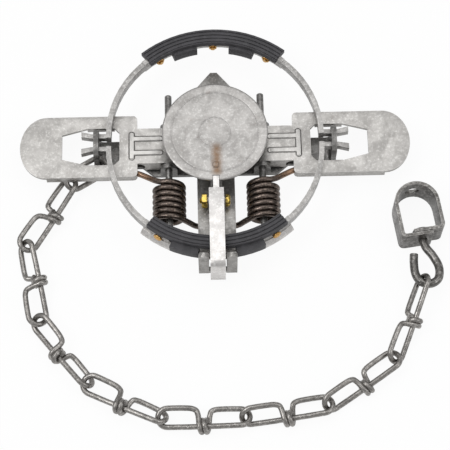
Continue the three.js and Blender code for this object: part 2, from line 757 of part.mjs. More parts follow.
// Two points on a pad bolt's axis, at two distances from the jaw's middle
function padBoltSpan(degrees, near, far) {
  const angle = THREE.MathUtils.degToRad(degrees - 90);
  return [near, far].map((reach) => [
    reach * Math.cos(angle), reach * Math.sin(angle) - jawPivotOffset, padBoltHeight]);
}
const jaw = makeJaw();
add('jaw_front', jaw, wornSteel);
add('jaw_back', jaw, wornSteel).rotation.z = Math.PI;

// Rubber face: a cap over the bar with an inner and an outer flap, and grooves along its top
function makePad() {
  const centreY = -jawPivotOffset;
  const span = [270 - padHalfAngle, 270 + padHalfAngle];
  const band = (inner, outer, low, high, from = span[0], to = span[1]) => (
    plate(sector(inner, outer, from, to, centreY, padSegments), low, high));
  const past = jawPadMargin;
  let pad = band(padInnerRadius, padOuterRadius, padBottom, padTop - padEdge)
    .add(band(padInnerRadius + padEdge, padOuterRadius - padEdge, padBottom, padTop));
  const channel = [jawInnerRadius - clearance, jawInnerRadius + jawThick + clearance];
  pad = pad.subtract(band(channel[0], channel[1], padBottom - overrun, jawPadTop + clearance,
    span[0] - past, span[1] + past));
  const pitch = (padOuterRadius - padInnerRadius) / (padGrooves + 1);
  for (let i = 1; i <= padGrooves; i += 1) {
    const middle = padInnerRadius + pitch * i;
    pad = pad.subtract(band(middle - padGrooveWidth / 2, middle + padGrooveWidth / 2,
      padTop - padGrooveDepth, padTop + overrun, span[0] - past, span[1] + past));
  }
  const cuts = [[-padHalfAngle - past, -padFlapOuterAngle], [-padFlapInnerAngle, padFlapInnerAngle],
    [padFlapOuterAngle, padHalfAngle + past]];
  for (const [from, to] of cuts) {
    pad = pad.subtract(plate(sector(jawInnerRadius + jawThick / 2, padOuterRadius + overrun,
      270 + from, 270 + to, centreY, bendSteps), padBottom - overrun, padFlapTop));
  }
  for (const degrees of padBoltAngles) {
    const [from, to] = padBoltSpan(degrees, padInnerRadius - overrun, jawInnerRadius);
    pad = pad.subtract(rod(from, to, padBoltRadius + clearance));
  }
  return pad;
}
const pad = makePad();
add('rubber_front', pad, rubber);
add('rubber_back', pad, rubber).rotation.z = Math.PI;

// Bolts through the bar and the rubber's inner flap, each with its nut inside
function makePadBolt(degrees) {
  const outer = jawInnerRadius + jawThick + clearance;
  const nutFace = padInnerRadius - clearance;
  const [tip, inHead] = padBoltSpan(degrees, nutFace - padNutHeight - clearance,
    outer + padBoltHead / 2);
  const [face, crown] = padBoltSpan(degrees, outer, outer + padBoltHead);
  return rod(tip, inHead, padBoltRadius)
    .add(rod(face, crown, padBoltHeadRadius, roundSegments, padBoltHeadRadius - padBoltHead / 2));
}

function makePadNut(degrees) {
  const nutFace = padInnerRadius - clearance;
  const [from, to] = padBoltSpan(degrees, nutFace - padNutHeight, nutFace);
  const [low, high] = padBoltSpan(degrees, nutFace - padNutHeight - overrun, nutFace + overrun);
  return rod(from, to, padBoltHeadRadius, 6).subtract(rod(low, high, padBoltRadius + clearance, 12));
}
const boltPlaces = ['left', 'middle', 'right'];
padBoltAngles.forEach((degrees, i) => {
  add(`front_pad_bolt_${boltPlaces[i]}`, makePadBolt(degrees), bronze);
  add(`front_pad_nut_${boltPlaces[i]}`, makePadNut(degrees), bronze);
  const across = boltPlaces[boltPlaces.length - 1 - i];
  add(`back_pad_bolt_${across}`, makePadBolt(degrees), bronze).rotation.z = Math.PI;
  add(`back_pad_nut_${across}`, makePadNut(degrees), bronze).rotation.z = Math.PI;
});

// Pan: a plain disc with a notch in its front rim for the dog's tongue
function makePan() {
  const low = panTop - panThick;
  const at = [0, panCentreY];
  let pan = rod([...at, low], [...at, panTop - panEdge], panRadius, panSegments)
    .add(rod([...at, panTop - panEdge], [...at, panTop], panRadius, panSegments,
      panRadius - panEdge));
  const half = tongueHalfWidth + clearance;
  const rim = panCentreY - panRadius;
  pan = pan.subtract(block([-half, half], [rim - overrun, rim + panNotchDepth],
    [low - overrun, panTop + overrun]));
  return pan.subtract(rod([0, -panRivetY, low - overrun], [0, -panRivetY, panTop + overrun],
    panRivetRadius + clearance));
}
add('pan', makePan(), wornSteel);

const shankTop = panTop - panThick - clearance;
function makeShank() {
  const boss = new THREE.Shape();
  boss.moveTo(shankBack, shankTop);
  boss.lineTo(shankBack, shankTop - shankDepth / 2);
  boss.lineTo(-shankFront + shankDepth, shankTop - shankDepth);
  boss.lineTo(-panPivotY + shankBoss, panPivotZ - shankBoss / 2);
  boss.absarc(-panPivotY, panPivotZ, shankBoss, 0, -1.25 * Math.PI, true);
  boss.lineTo(-shankFront - shankDepth, shankTop - shankDepth);
  boss.lineTo(-shankFront, shankTop);
  const hollow = block([shankWall - shankHalfWidth, shankHalfWidth - shankWall],
    [-panPivotY - shankBoss - overrun, shankBack + overrun], [0, shankTop - shankWall]);
  const bolt = rod([-shankHalfWidth - overrun, -panPivotY, panPivotZ],
    [shankHalfWidth + overrun, -panPivotY, panPivotZ], panBoltRadius + clearance);
  const rivet = rod([0, -panRivetY, 0], [0, -panRivetY, shankTop + overrun],
    panRivetRadius + clearance);
  return sidePlate(boss, -shankHalfWidth, shankHalfWidth).subtract(hollow).subtract(bolt)
    .subtract(rivet);
}
add('pan_shank', makeShank(), darkSteel);

const rivetSeat = panTop + clearance;
const rivetFoot = shankTop - shankWall - clearance;
add('pan_rivet', rod([0, -panRivetY, rivetFoot - panRivetHead],
  [0, -panRivetY, rivetSeat + panRivetHead / 2], panRivetRadius)
  .add(rod([0, -panRivetY, rivetSeat], [0, -panRivetY, rivetSeat + panRivetHead],
    panRivetRadius + panRivetHead, roundSegments, panRivetRadius))
  .add(rod([0, -panRivetY, rivetFoot - panRivetHead], [0, -panRivetY, rivetFoot],
    shankHalfWidth - shankWall - clearance)), wornSteel);

const earFace = panEarOffset + panEarThick + clearance;
const nutFace = earFace + panNutThick;
add('pan_bolt', rod([-nutFace - panBoltProud, -panPivotY, panPivotZ],
  [earFace + panBoltHead / 2, -panPivotY, panPivotZ], panBoltRadius)
  .add(rod([earFace, -panPivotY, panPivotZ], [earFace + panBoltHead, -panPivotY, panPivotZ],
    panBoltHeadRadius, roundSegments, panBoltHeadRadius - panBoltHead / 3)), brass);
add('pan_nut', rod([-nutFace, -panPivotY, panPivotZ], [-earFace, -panPivotY, panPivotZ],
  panNutRadius, 6).subtract(rod([-nutFace - overrun, -panPivotY, panPivotZ],
  [-earFace + overrun, -panPivotY, panPivotZ], panBoltRadius + clearance)), brass);

// Dog: tongue, strip, outer bend and the hook round the bridge of its post
function makeDog() {
  const half = dogThick / 2;
  const eye = dogEyeInner + half;
  const outer = -dogPostMiddle - eye;
  const strip = stripShape(roundedLine([
    [-tongueTip, tongueUnder + half], [-tongueRoot, tongueUnder + half],
    [outer, dogUnderOuter + half], [outer, bridgeHeight],
  ], dogBend + half), dogThick);
  const hook = [];
  const steps = roundSegments;
  for (let i = 0; i <= steps; i += 1) {
    const angle = Math.PI + THREE.MathUtils.degToRad(dogEyeWrap) * i / steps;
    hook.push([-dogPostMiddle + eye * Math.cos(angle), bridgeHeight + eye * Math.sin(angle)]);
  }
  const curl = sidePlate(stripShape(hook, dogThick), -dogHalfWidth, dogHalfWidth);
  let dog = sidePlate(strip, -dogHalfWidth, dogHalfWidth).add(curl);
  for (const way of mirrored) {
    const xs = [way * tongueHalfWidth, way * (dogHalfWidth + overrun)].sort((a, b) => a - b);
    dog = dog.subtract(block(xs, [-tongueRoot, -tongueTip + overrun],
      [0, dogUnderOuter + dogThick + overrun]));
  }
  return dog;
}
add('dog', makeDog(), brightSteel);

// Chain: junctions first, then the links between them
const junctions = [new THREE.Vector3(-chainStartOut, -chainStartFront, chainStartLevel)];
linkHeadings.forEach((heading, i) => {
  const angle = THREE.MathUtils.degToRad(heading);
  const last = junctions[i];
  const level = i === linkHeadings.length - 1 ? hookLevel : chainLevel;
  junctions.push(new THREE.Vector3(last.x + linkPitch * Math.cos(angle),
    last.y + linkPitch * Math.sin(angle), level));
});

// The frame of a link: along, aside and up, for two ends
function linkFrame(from, to) {
  const along = to.clone().sub(from).normalize();
  const aside = new THREE.Vector3(-along.y, along.x, 0).normalize();
  return { along, aside, up: new THREE.Vector3().crossVectors(along, aside) };
}

// A double-loop link of one wire. Each half is a loop, rolled the other way from its
// neighbour, and both upper rods wrap round the straight shank between them.
function linkLine(from, to, shankSide, rollNear, rollFar, farOverlap) {
  const frame = linkFrame(from, to);
  const middle = from.clone().add(to).multiplyScalar(0.5);
  const half = from.distanceTo(to) / 2;
  const wrap = chainWire + knotGap;
  const put = (u, v, w) => middle.clone().addScaledVector(frame.along, u)
    .addScaledVector(frame.aside, v * shankSide).addScaledVector(frame.up, w * shankSide);
  const ends = [
    { way: -1, roll: THREE.MathUtils.degToRad(-rollNear), bow: half + loopOverlap - loopHalfWidth },
    { way: 1, roll: THREE.MathUtils.degToRad(rollFar), bow: half + farOverlap - loopHalfWidth },
  ];
  const shank = ends.map(({ way, roll, bow }) => new THREE.Vector3(
    way * bow, loopHalfWidth * Math.cos(roll), -loopHalfWidth * Math.sin(roll)));
  const halves = ends.map(({ way, roll, bow }) => {
    const at = (u, s) => put(way * u, -s * Math.cos(roll), s * Math.sin(roll));
    const side = Math.sign(roll);
    const line = [];
    for (let i = 0; i <= knotSteps; i += 1) {
      const angle = Math.PI / 2 - 2 * Math.PI * knotTurns * (1 - i / knotSteps);
      const u = way * (wrap / 2 + wrap * knotTurns * i / knotSteps);
      const share = (u - shank[0].x) / (shank[1].x - shank[0].x);
      const core = shank[0].clone().lerp(shank[1], share);
      line.push(put(u, core.y + wrap * Math.cos(angle), core.z + side * wrap * Math.sin(angle)));
    }
    line.push(at(bow * rodBellyShares[0], loopHalfWidth * rodBellyShares[1]));
    for (let i = 0; i <= bowSteps; i += 1) {
      const angle = Math.PI / 2 - Math.PI * i / bowSteps;
      line.push(at(bow + loopHalfWidth * Math.cos(angle), loopHalfWidth * Math.sin(angle)));
    }
    return line;
  });
  return [...halves[0], ...halves[1].reverse()];
}

// A plain ring with straight sides
function ringLine(from, to, roll, nearOverlap, farOverlap) {
  const frame = linkFrame(from, to);
  const middle = from.clone().add(to).multiplyScalar(0.5);
  const half = from.distanceTo(to) / 2;
  const tilt = THREE.MathUtils.degToRad(roll);
  const points = [];
  [[-1, nearOverlap], [1, farOverlap]].forEach(([way, overlap]) => {
    for (let i = 0; i <= bowSteps; i += 1) {
      const angle = Math.PI / 2 - Math.PI * i / bowSteps;
      const u = way * (half + overlap - loopHalfWidth + loopHalfWidth * Math.cos(angle));
      const s = way * loopHalfWidth * Math.sin(angle);
      points.push(middle.clone().addScaledVector(frame.along, u)
        .addScaledVector(frame.aside, s * Math.cos(tilt)).addScaledVector(frame.up, s * Math.sin(tilt)));
    }
  });
  return points;
}

const connectorStart = new THREE.Vector3(-postInner - baseThick / 2, -connectorFront, connectorLevel);
add('connector_link', wire(ringLine(connectorStart, junctions[0], -startRoll, connectorOverlap,
  loopOverlap), chainWire / 2, chainSides, true), chainSteel);
linkHeadings.forEach((heading, i) => {
  const last = i === linkHeadings.length - 1;
  const line = linkLine(junctions[i], junctions[i + 1], linkShankSides[i],
    i === 0 ? startRoll : loopRoll,
    last ? hookLoopRoll : loopRoll, last ? hookOverlap : loopOverlap);
  add(`chain_link_${i + 1}`, wire(line, chainWire / 2, chainSides), chainSteel);
});

// Swivel: a hook whose headed shank turns in the floor of a D-shaped box
const bowAngle = THREE.MathUtils.degToRad(linkHeadings[linkHeadings.length - 1] + hookGripAngle);
const bowCentre = junctions[junctions.length - 1].clone().addScaledVector(
  new THREE.Vector3(Math.cos(bowAngle), Math.sin(bowAngle), 0), hookBow);
const boxAngle = THREE.MathUtils.degToRad(boxHeading);
const boxAlong = new THREE.Vector3(Math.cos(boxAngle), Math.sin(boxAngle), 0);
const boxAcross = new THREE.Vector3(boxAlong.y, -boxAlong.x, 0);
const boxOrigin = bowCentre.clone().addScaledVector(boxAcross, hookBowAside)
  .addScaledVector(boxAlong, hookBowBelow);
const boxPlace = (a, b, z) => boxOrigin.clone().addScaledVector(boxAcross, a)
  .addScaledVector(boxAlong, b).setZ(z);

const floorTop = 2 * boxThick + clearance;
function makeHook() {
  const headLow = floorTop + clearance;
  const [bx, by] = [-hookBowAside, -hookBowBelow];
  const side = hookBow * Math.SQRT1_2;
  const route = [
    [0, headLow + hookHeadThick / 2], [0, -clearance], [hookRod * hookNeckShare, -hookRod],
    [bx + side, by + hookBow + hookRod / 2],
    [bx + hookBow, by + hookRod * hookCheekShare],
    [bx + side, by - side], [bx, by - hookBow], [bx - side, by - side], [bx - hookBow, by],
    [bx - hookBow * hookEndShares[0], by + hookBow],
    [bx - hookBow * hookEndShares[1], by + hookBow + hookRod],
  ].map(([a, b]) => boxPlace(a, b, hookLevel));
  const points = new THREE.CatmullRomCurve3(route, false, 'centripetal').getPoints(hookSteps);
  const head = rod(boxPlace(0, headLow, hookLevel).toArray(),
    boxPlace(0, headLow + hookHeadThick, hookLevel).toArray(), hookHeadRadius, roundSegments,
    hookHeadRadius - hookHeadThick / 2);
  return wire(points, hookRod / 2, hookSides).add(head);
}
add('swivel_hook', makeHook(), chainSteel);

// The box is one strap, folded to a D, its two ends lapped under the hook's head
function makeBox() {
  const half = boxHalfWidth - boxThick / 2;
  const inner = boxThick + clearance + boxThick / 2;  // middle of the upper of the two lapped ends
  const archStart = boxLength - boxHalfWidth;
  const arch = [];
  for (let i = 0; i <= roundSegments; i += 1) {
    const angle = Math.PI * i / roundSegments;
    arch.push([half * Math.cos(angle), archStart + half * Math.sin(angle)]);
  }
  const line = roundedLine([[-boxLap, inner], [half, inner], ...arch.slice(0, 1)], boxCorner)
    .slice(0, -1)
    .concat(arch)
    .concat(roundedLine([arch[arch.length - 1], [-half, boxThick / 2], [boxLap, boxThick / 2]],
      boxCorner).slice(1));
  const turn = new THREE.Matrix4().makeBasis(boxAcross, boxAlong, new THREE.Vector3(0, 0, 1));
  const flat = extrude(stripShape(line, boxThick), boxStrap, roundSegments).applyMatrix4(turn);
  flat.translate(boxOrigin.x, boxOrigin.y, boxLow);
  const middle = boxLow + boxStrap / 2;
  const bore = rod(boxPlace(0, -overrun, hookLevel).toArray(),
    boxPlace(0, floorTop + overrun, hookLevel).toArray(), hookRod / 2 + clearance);
  const eye = solidOf(new THREE.CylinderGeometry(boxEyeHalfWidth, boxEyeHalfWidth,
    2 * boxThick + 2 * overrun, roundSegments).scale(1, 1, boxEyeHalfHeight / boxEyeHalfWidth)
    .applyMatrix4(turn)
    .translate(...boxPlace(0, boxLength - boxThick / 2, middle).toArray()));
  return solidOf(flat).subtract(bore).subtract(eye);
}
add('swivel_box', makeBox(), chainSteel);

export default trap;
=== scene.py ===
# %% [markdown]
# A coil-spring foothold trap, set, with rubber-faced jaws, a chain and a box swivel.
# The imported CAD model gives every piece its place. This lesson dresses it: it rounds the
# edges of the pressed steel, winds the springs and the chain as smooth wire, and gives each
# metal and the rubber a finish made of nodes. All lengths are metres, and MM turns
# millimetres into them.

# %% The frame
import json
from math import cos, degrees, pi, radians, sin, sqrt, tan

import bmesh
import bpy
from mathutils import Matrix, Vector

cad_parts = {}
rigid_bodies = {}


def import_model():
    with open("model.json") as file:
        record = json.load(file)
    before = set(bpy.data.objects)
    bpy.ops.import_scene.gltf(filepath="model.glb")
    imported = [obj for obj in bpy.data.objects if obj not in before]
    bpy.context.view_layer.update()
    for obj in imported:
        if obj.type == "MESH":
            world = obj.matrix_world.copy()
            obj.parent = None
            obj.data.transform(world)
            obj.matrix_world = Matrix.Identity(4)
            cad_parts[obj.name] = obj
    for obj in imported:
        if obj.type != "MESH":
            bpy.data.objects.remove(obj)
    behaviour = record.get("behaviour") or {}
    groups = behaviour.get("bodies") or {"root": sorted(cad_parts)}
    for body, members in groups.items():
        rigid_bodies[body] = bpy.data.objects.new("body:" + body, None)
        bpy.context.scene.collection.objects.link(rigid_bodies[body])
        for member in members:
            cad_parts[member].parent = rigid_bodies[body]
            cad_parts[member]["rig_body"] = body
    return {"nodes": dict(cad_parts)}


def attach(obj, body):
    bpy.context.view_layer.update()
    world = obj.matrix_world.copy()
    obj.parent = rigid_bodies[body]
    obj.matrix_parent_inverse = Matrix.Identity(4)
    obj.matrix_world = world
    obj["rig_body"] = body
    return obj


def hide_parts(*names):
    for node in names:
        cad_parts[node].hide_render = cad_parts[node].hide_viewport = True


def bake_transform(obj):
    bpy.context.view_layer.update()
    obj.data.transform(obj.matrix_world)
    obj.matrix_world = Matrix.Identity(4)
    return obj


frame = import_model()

MM = 0.001
nodes = frame["nodes"]
body_of_node = {name: obj["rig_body"] for name, obj in nodes.items()}
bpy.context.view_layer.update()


def add_object(name, data):
    thing = bpy.data.objects.new(name, data)
    bpy.context.scene.collection.objects.link(thing)
    return thing


# %% [markdown]
# The camera looks down steeply from the front, 22 degrees off the vertical, from about
# 0.95 m away. It could be placed by typed coordinates and turns. Here it is placed by the
# point that it aims at, its two angles and its distance, because those are what can be read
# from how far the uprights lean and how much the far pieces shrink.

# %% Camera
AIM = Vector((4.8 * MM, -46.3 * MM, 0))
CAMERA_AZIMUTH = radians(-1.4)
CAMERA_ELEVATION = radians(68)
CAMERA_DISTANCE = 0.947
VIEW_HALF_WIDTH = 134.5 * MM

back = Vector((
    sin(CAMERA_AZIMUTH) * cos(CAMERA_ELEVATION),
    -cos(CAMERA_AZIMUTH) * cos(CAMERA_ELEVATION),
    sin(CAMERA_ELEVATION),
))
camera_data = bpy.data.cameras.new("Camera")
camera_data.lens = camera_data.sensor_width / 2 * CAMERA_DISTANCE / VIEW_HALF_WIDTH
camera = add_object("Camera", camera_data)
camera.location = AIM + back * CAMERA_DISTANCE
camera.rotation_mode = "QUATERNION"
camera.rotation_quaternion = (-back).to_track_quat("-Z", "Y")
bpy.context.scene.camera = camera
print("camera: lens", round(camera_data.lens, 1), "mm")

# %% [markdown]
# Finishes are graphs of nodes. They could be wired by hand in the editor, but a script can
# be read and changed. One call here makes a node, sets its options and wires its inputs: an
# input that is another node's socket becomes a link, and anything else a value.

# %% Node helpers
def feed(tree, node, inputs):
    for key, value in inputs.items():
        if isinstance(value, bpy.types.NodeSocket):
            tree.links.new(value, node.inputs[key])
        else:
            node.inputs[key].default_value = value


def add_node(tree, kind, inputs=None, **options):
    node = tree.nodes.new(kind)
    for name, value in options.items():
        setattr(node, name, value)
    feed(tree, node, inputs or {})
    return node


# What is linked to an input now
def source(node, key):
    return node.inputs[key].links[0].from_socket


# The colour sockets of a Mix node are 6 and 7, and its colour comes out of socket 2
def mix_colour(tree, factor, a, b):
    return add_node(tree, "ShaderNodeMix", {0: factor, 6: a, 7: b}, data_type="RGBA").outputs[2]


def math_node(tree, operation, *values):
    return add_node(tree, "ShaderNodeMath", dict(enumerate(values)), operation=operation).outputs[0]


def times(tree, a, b):
    return math_node(tree, "MULTIPLY", a, b)


def spread(tree, value, low, high, to_low=0.0, to_high=1.0):
    node = add_node(tree, "ShaderNodeMapRange", {
        "Value": value, "From Min": low, "From Max": high, "To Min": to_low, "To Max": to_high,
    }, interpolation_type="SMOOTHSTEP")
    return node.outputs[0]


def noise(tree, vector, scale, detail=4.0, roughness=0.55, distortion=0.0):
    return add_node(tree, "ShaderNodeTexNoise", {
        "Vector": vector, "Scale": scale, "Detail": detail, "Roughness": roughness,
        "Distortion": distortion,
    }).outputs["Fac"]


def scaled(tree, vector, scale, turn=(0, 0, 0)):
    return add_node(tree, "ShaderNodeMapping", {
        "Vector": vector, "Scale": scale, "Rotation": turn,
    }).outputs[0]


def grey(value):
    return (value, value, value, 1)


def object_place(tree):
    return tree.nodes.new("ShaderNodeTexCoord").outputs["Object"]


def shader_of(material):
    return material.node_tree, material.node_tree.nodes["Principled BSDF"]


def start_material(name):
    material = bpy.data.materials.new(name)
    material.use_nodes = True
    return material, *shader_of(material)


def bump(tree, height, strength, distance, normal=None):
    inputs = {"Strength": strength, "Distance": distance, "Height": height}
    if normal:
        inputs["Normal"] = normal
    return add_node(tree, "ShaderNodeBump", inputs).outputs[0]


print("node helpers are ready")

# %% [markdown]
# Every steel piece of this trap has the same story: rolled or drawn stock, tumbled, then left
# bare. It has large soft patches, a fine grain, scratches that cross each other, a brighter
# edge, which is partly wear and partly a painted highlight, and a little brown oxide. Each steel
# could have its own graph, but one node group keeps the story the same, and each material only
# gives it its own colours and amounts. The edge mask compares the true normal with one that is
# rounded over a small radius, because the two differ only near an edge, whatever the shape.

# %% The worn-metal group
SCRATCH_LAYERS = (
    (0.5, (240, 4200, 900)),
    (2.2, (300, 5200, 900)),
    (-0.3, (200, 3600, 800)),
)


def make_metal_group():
    group = bpy.data.node_groups.new("Worn metal", "ShaderNodeTree")
    face = group.interface
    for name, kind, value in (
        ("Vector", "NodeSocketVector", None),
        ("Base", "NodeSocketColor", grey(0.4)),
        ("Dark", "NodeSocketColor", grey(0.2)),
        ("Light", "NodeSocketColor", grey(0.7)),
        ("Oxide", "NodeSocketColor", (0.16, 0.07, 0.03, 1)),
        ("Patch scale", "NodeSocketFloat", 90.0),
        ("Patch amount", "NodeSocketFloat", 0.6),
        ("Scratch amount", "NodeSocketFloat", 0.4),
        ("Oxide amount", "NodeSocketFloat", 0.15),
        ("Edge wear", "NodeSocketFloat", 0.5),
        ("Edge radius", "NodeSocketFloat", 0.0006),
        ("Roughness low", "NodeSocketFloat", 0.3),
        ("Roughness high", "NodeSocketFloat", 0.55),
    ):
        socket = face.new_socket(name=name, in_out="INPUT", socket_type=kind)
        if value is not None:
            socket.default_value = value
    for name, kind in (("Color", "NodeSocketColor"), ("Roughness", "NodeSocketFloat"),
                       ("Height", "NodeSocketFloat")):
        face.new_socket(name=name, in_out="OUTPUT", socket_type=kind)
    given = group.nodes.new("NodeGroupInput").outputs
    vector = given["Vector"]

    patches = noise(group, vector, given["Patch scale"], 6, 0.62, 0.6)
    patches = spread(group, patches, 0.38, 0.66)
    mottle = noise(group, vector, 640, 5, 0.75)
    grain = noise(group, vector, 2600, 2, 0.6)

    scratches = 0.0
    for turn, stretch in SCRATCH_LAYERS:
        streaks = noise(group, scaled(group, vector, stretch, (0, 0, turn)), 1.0, 2, 0.5)
        scratches = math_node(group, "MAXIMUM", scratches, spread(group, streaks, 0.66, 0.74))
    where = spread(group, noise(group, vector, 70, 3, 0.5), 0.4, 0.65)
    scratches = times(group, scratches, where)
    scratches = times(group, scratches, given["Scratch amount"])

    # The brighter edge made here is partly wear and partly a painted highlight
    rounded = add_node(group, "ShaderNodeBevel", {"Radius": given["Edge radius"]}, samples=4)
    true_normal = group.nodes.new("ShaderNodeNewGeometry").outputs["Normal"]
    same = add_node(group, "ShaderNodeVectorMath", {0: rounded.outputs[0], 1: true_normal},
                    operation="DOT_PRODUCT").outputs["Value"]
    edge = spread(group, same, 0.995, 0.86)
    edge = times(group, edge, spread(group, mottle, 0.3, 0.6, 0.35, 1.0))
    edge = times(group, edge, given["Edge wear"])

    oxide = spread(group, noise(group, vector, 150, 7, 0.7, 0.4), 0.6, 0.72)
    oxide = times(group, oxide, given["Oxide amount"])

    colour = mix_colour(group, times(group, patches, given["Patch amount"]),
                        given["Base"], given["Dark"])
    flecks = spread(group, mottle, 0.5, 0.66, 0.0, 0.7)
    pits = spread(group, mottle, 0.46, 0.32, 0.0, 0.4)
    colour = mix_colour(group, flecks, colour, given["Light"])
    colour = mix_colour(group, pits, colour, given["Dark"])
    colour = mix_colour(group, scratches, colour, given["Light"])
    colour = mix_colour(group, oxide, colour, given["Oxide"])
    colour = mix_colour(group, edge, colour, given["Light"])

    uneven = math_node(group, "ADD", times(group, patches, 0.55),
                       times(group, mottle, 0.45))
    rough = add_node(group, "ShaderNodeMapRange", {
        "Value": uneven, "From Min": 0.1, "From Max": 0.85,
        "To Min": given["Roughness low"], "To Max": given["Roughness high"],
    }).outputs[0]
    rough = math_node(group, "ADD", rough, times(group, oxide, 0.3))

    height = math_node(group, "ADD", times(group, mottle, 0.5),
                       times(group, grain, 0.35))
    height = math_node(group, "SUBTRACT", height, times(group, scratches, 0.5))

    feed(group, group.nodes.new("NodeGroupOutput"), {
        "Color": colour, "Roughness": rough, "Height": height})
    return group


METAL_GROUP = make_metal_group()
print("worn-metal group:", len(METAL_GROUP.nodes), "nodes")

# %% [markdown]
# A steel material is the group, a bump and one Principled shader. The pieces could share one
# steel, but on the real trap they come from different stock: bright levers and dog, duller
# jaws, a dark base and chain, and two platings on the bolts. So each gets its own values.

# %% Steels
METAL_BUMP = 0.12
METAL_BUMP_HEIGHT = 0.3 * MM


AMOUNTS = ("Patch scale", "Patch amount", "Scratch amount", "Oxide amount", "Edge wear",
           "Roughness low", "Roughness high")


def metal(name, base, dark, light, amounts, **more):
    material, tree, shader = start_material(name)
    story = add_node(tree, "ShaderNodeGroup", node_tree=METAL_GROUP)
    feed(tree, story, {"Vector": object_place(tree), "Base": (*base, 1), "Dark": (*dark, 1),
                       "Light": (*light, 1), **dict(zip(AMOUNTS, amounts)), **more})
    feed(tree, shader, {
        "Base Color": story.outputs["Color"], "Roughness": story.outputs["Roughness"],
        "Normal": bump(tree, story.outputs["Height"], METAL_BUMP, METAL_BUMP_HEIGHT),
        "Metallic": 1.0})
    return material


# Each row: the name, the base, dark and light colours, then the amounts in their order
STEELS = {
    "lever": ("Lever steel", (0.46, 0.447, 0.43), (0.29, 0.278, 0.265), (0.68, 0.67, 0.65),
              (85, 0.4, 0.7, 0.1, 0.7, 0.3, 0.52)),
    "jaw": ("Jaw steel", (0.36, 0.352, 0.342), (0.2, 0.193, 0.186), (0.62, 0.61, 0.595),
            (120, 0.42, 0.45, 0.12, 0.75, 0.28, 0.5)),
    "dog": ("Dog steel", (0.72, 0.7, 0.685), (0.5, 0.485, 0.47), (0.92, 0.91, 0.89),
            (120, 0.45, 0.4, 0.05, 0.6, 0.24, 0.4)),
    # The cross strip is the levers' steel made darker: painted shade from the pan, dog and jaws
    # over it
    "cross": ("Cross strip steel", (0.34, 0.33, 0.317), (0.19, 0.182, 0.173), (0.55, 0.54, 0.52),
              (100, 0.7, 0.35, 0.2, 0.55, 0.32, 0.55)),
    "base": ("Base steel", (0.25, 0.245, 0.238), (0.12, 0.116, 0.112), (0.46, 0.45, 0.435),
             (100, 0.7, 0.35, 0.25, 0.55, 0.34, 0.6)),
    "chain": ("Chain wire", (0.3, 0.287, 0.272), (0.12, 0.114, 0.108), (0.6, 0.58, 0.555),
              (160, 0.5, 0.3, 0.1, 0.0, 0.26, 0.46)),
    "swivel": ("Swivel steel", (0.16, 0.154, 0.147), (0.065, 0.062, 0.057), (0.5, 0.49, 0.47),
               (130, 0.6, 0.45, 0.2, 0.9, 0.26, 0.46)),
    "brass": ("Yellow plating", (0.8, 0.58, 0.14), (0.5, 0.32, 0.07), (0.95, 0.8, 0.35),
              (300, 0.4, 0.2, 0.1, 0.5, 0.2, 0.36)),
    "bronze": ("Gold-brown plating", (0.62, 0.36, 0.12), (0.3, 0.15, 0.05), (0.9, 0.66, 0.3),
               (320, 0.4, 0.2, 0.15, 0.5, 0.22, 0.4)),
}
# The swivel's wider bright edge is partly wear and partly a painted highlight
EDGE_RADIUS = {"swivel": 0.8 * MM, "brass": 0.3 * MM, "bronze": 0.3 * MM}
MATERIALS = {key: metal(*row, **{"Edge radius": EDGE_RADIUS.get(key, 0.6 * MM)})
             for key, row in STEELS.items()}
print("steels and platings:", len(MATERIALS))

# %% [markdown]
# The rubber faces are moulded in a near-black compound. What shows on real ones is a dusty
# bloom on the top, a fine skin texture and scuffs where the jaws have met. A strong colour
# pattern could show those, but real rubber has hardly any, so the colour stays almost even
# and the roughness and the bump do the work.

# %% Rubber
RUBBER_DARK = (0.038, 0.037, 0.041, 1)
RUBBER_BLOOM = (0.066, 0.064, 0.07, 1)
RUBBER_SCUFF = (0.15, 0.147, 0.155, 1)
RUBBER_BUMP = 0.25
RUBBER_BUMP_HEIGHT = 0.2 * MM


def make_rubber():
    material, tree, shader = start_material("Moulded rubber")
    place = object_place(tree)
    skin = noise(tree, place, 3200, 3, 0.6)
    cloud = noise(tree, place, 120, 5, 0.6, 0.4)
    scuff = spread(tree, noise(tree, place, 420, 5, 0.7), 0.56, 0.72)
    colour = mix_colour(tree, spread(tree, cloud, 0.35, 0.7), RUBBER_DARK, RUBBER_BLOOM)
    colour = mix_colour(tree, times(tree, scuff, 0.4), colour, RUBBER_SCUFF)
    rough = add_node(tree, "ShaderNodeMapRange", {
        "Value": cloud, "From Min": 0.3, "From Max": 0.7, "To Min": 0.5, "To Max": 0.72,
    }).outputs[0]
    height = math_node(tree, "ADD", times(tree, skin, 0.5),
                       times(tree, scuff, 0.3))
    feed(tree, shader, {
        "Base Color": colour, "Roughness": rough, "Specular IOR Level": 0.45,
        "Normal": bump(tree, height, RUBBER_BUMP, RUBBER_BUMP_HEIGHT)})
    return material


MATERIALS["rubber"] = make_rubber()
print("rubber: near black, with bloom and scuffs")

# %% [markdown]
# The springs are drawn wire, blackened in oil. The outer arms are painted a coppery brown, a
# painted glint that tints the lamps' highlights on them. The arms could be pieces with a
# material of their own, but a spring is one wire, so its colour changes along the trap's
# depth instead.

# %% Spring finish
# The coppery brown on the arms is a painted glint
ARM_BLACK_UNTIL = -25 * MM
ARM_GLINT_FROM = -20 * MM
ARM_GLINT_BROWN = (0.36, 0.22, 0.14, 1)


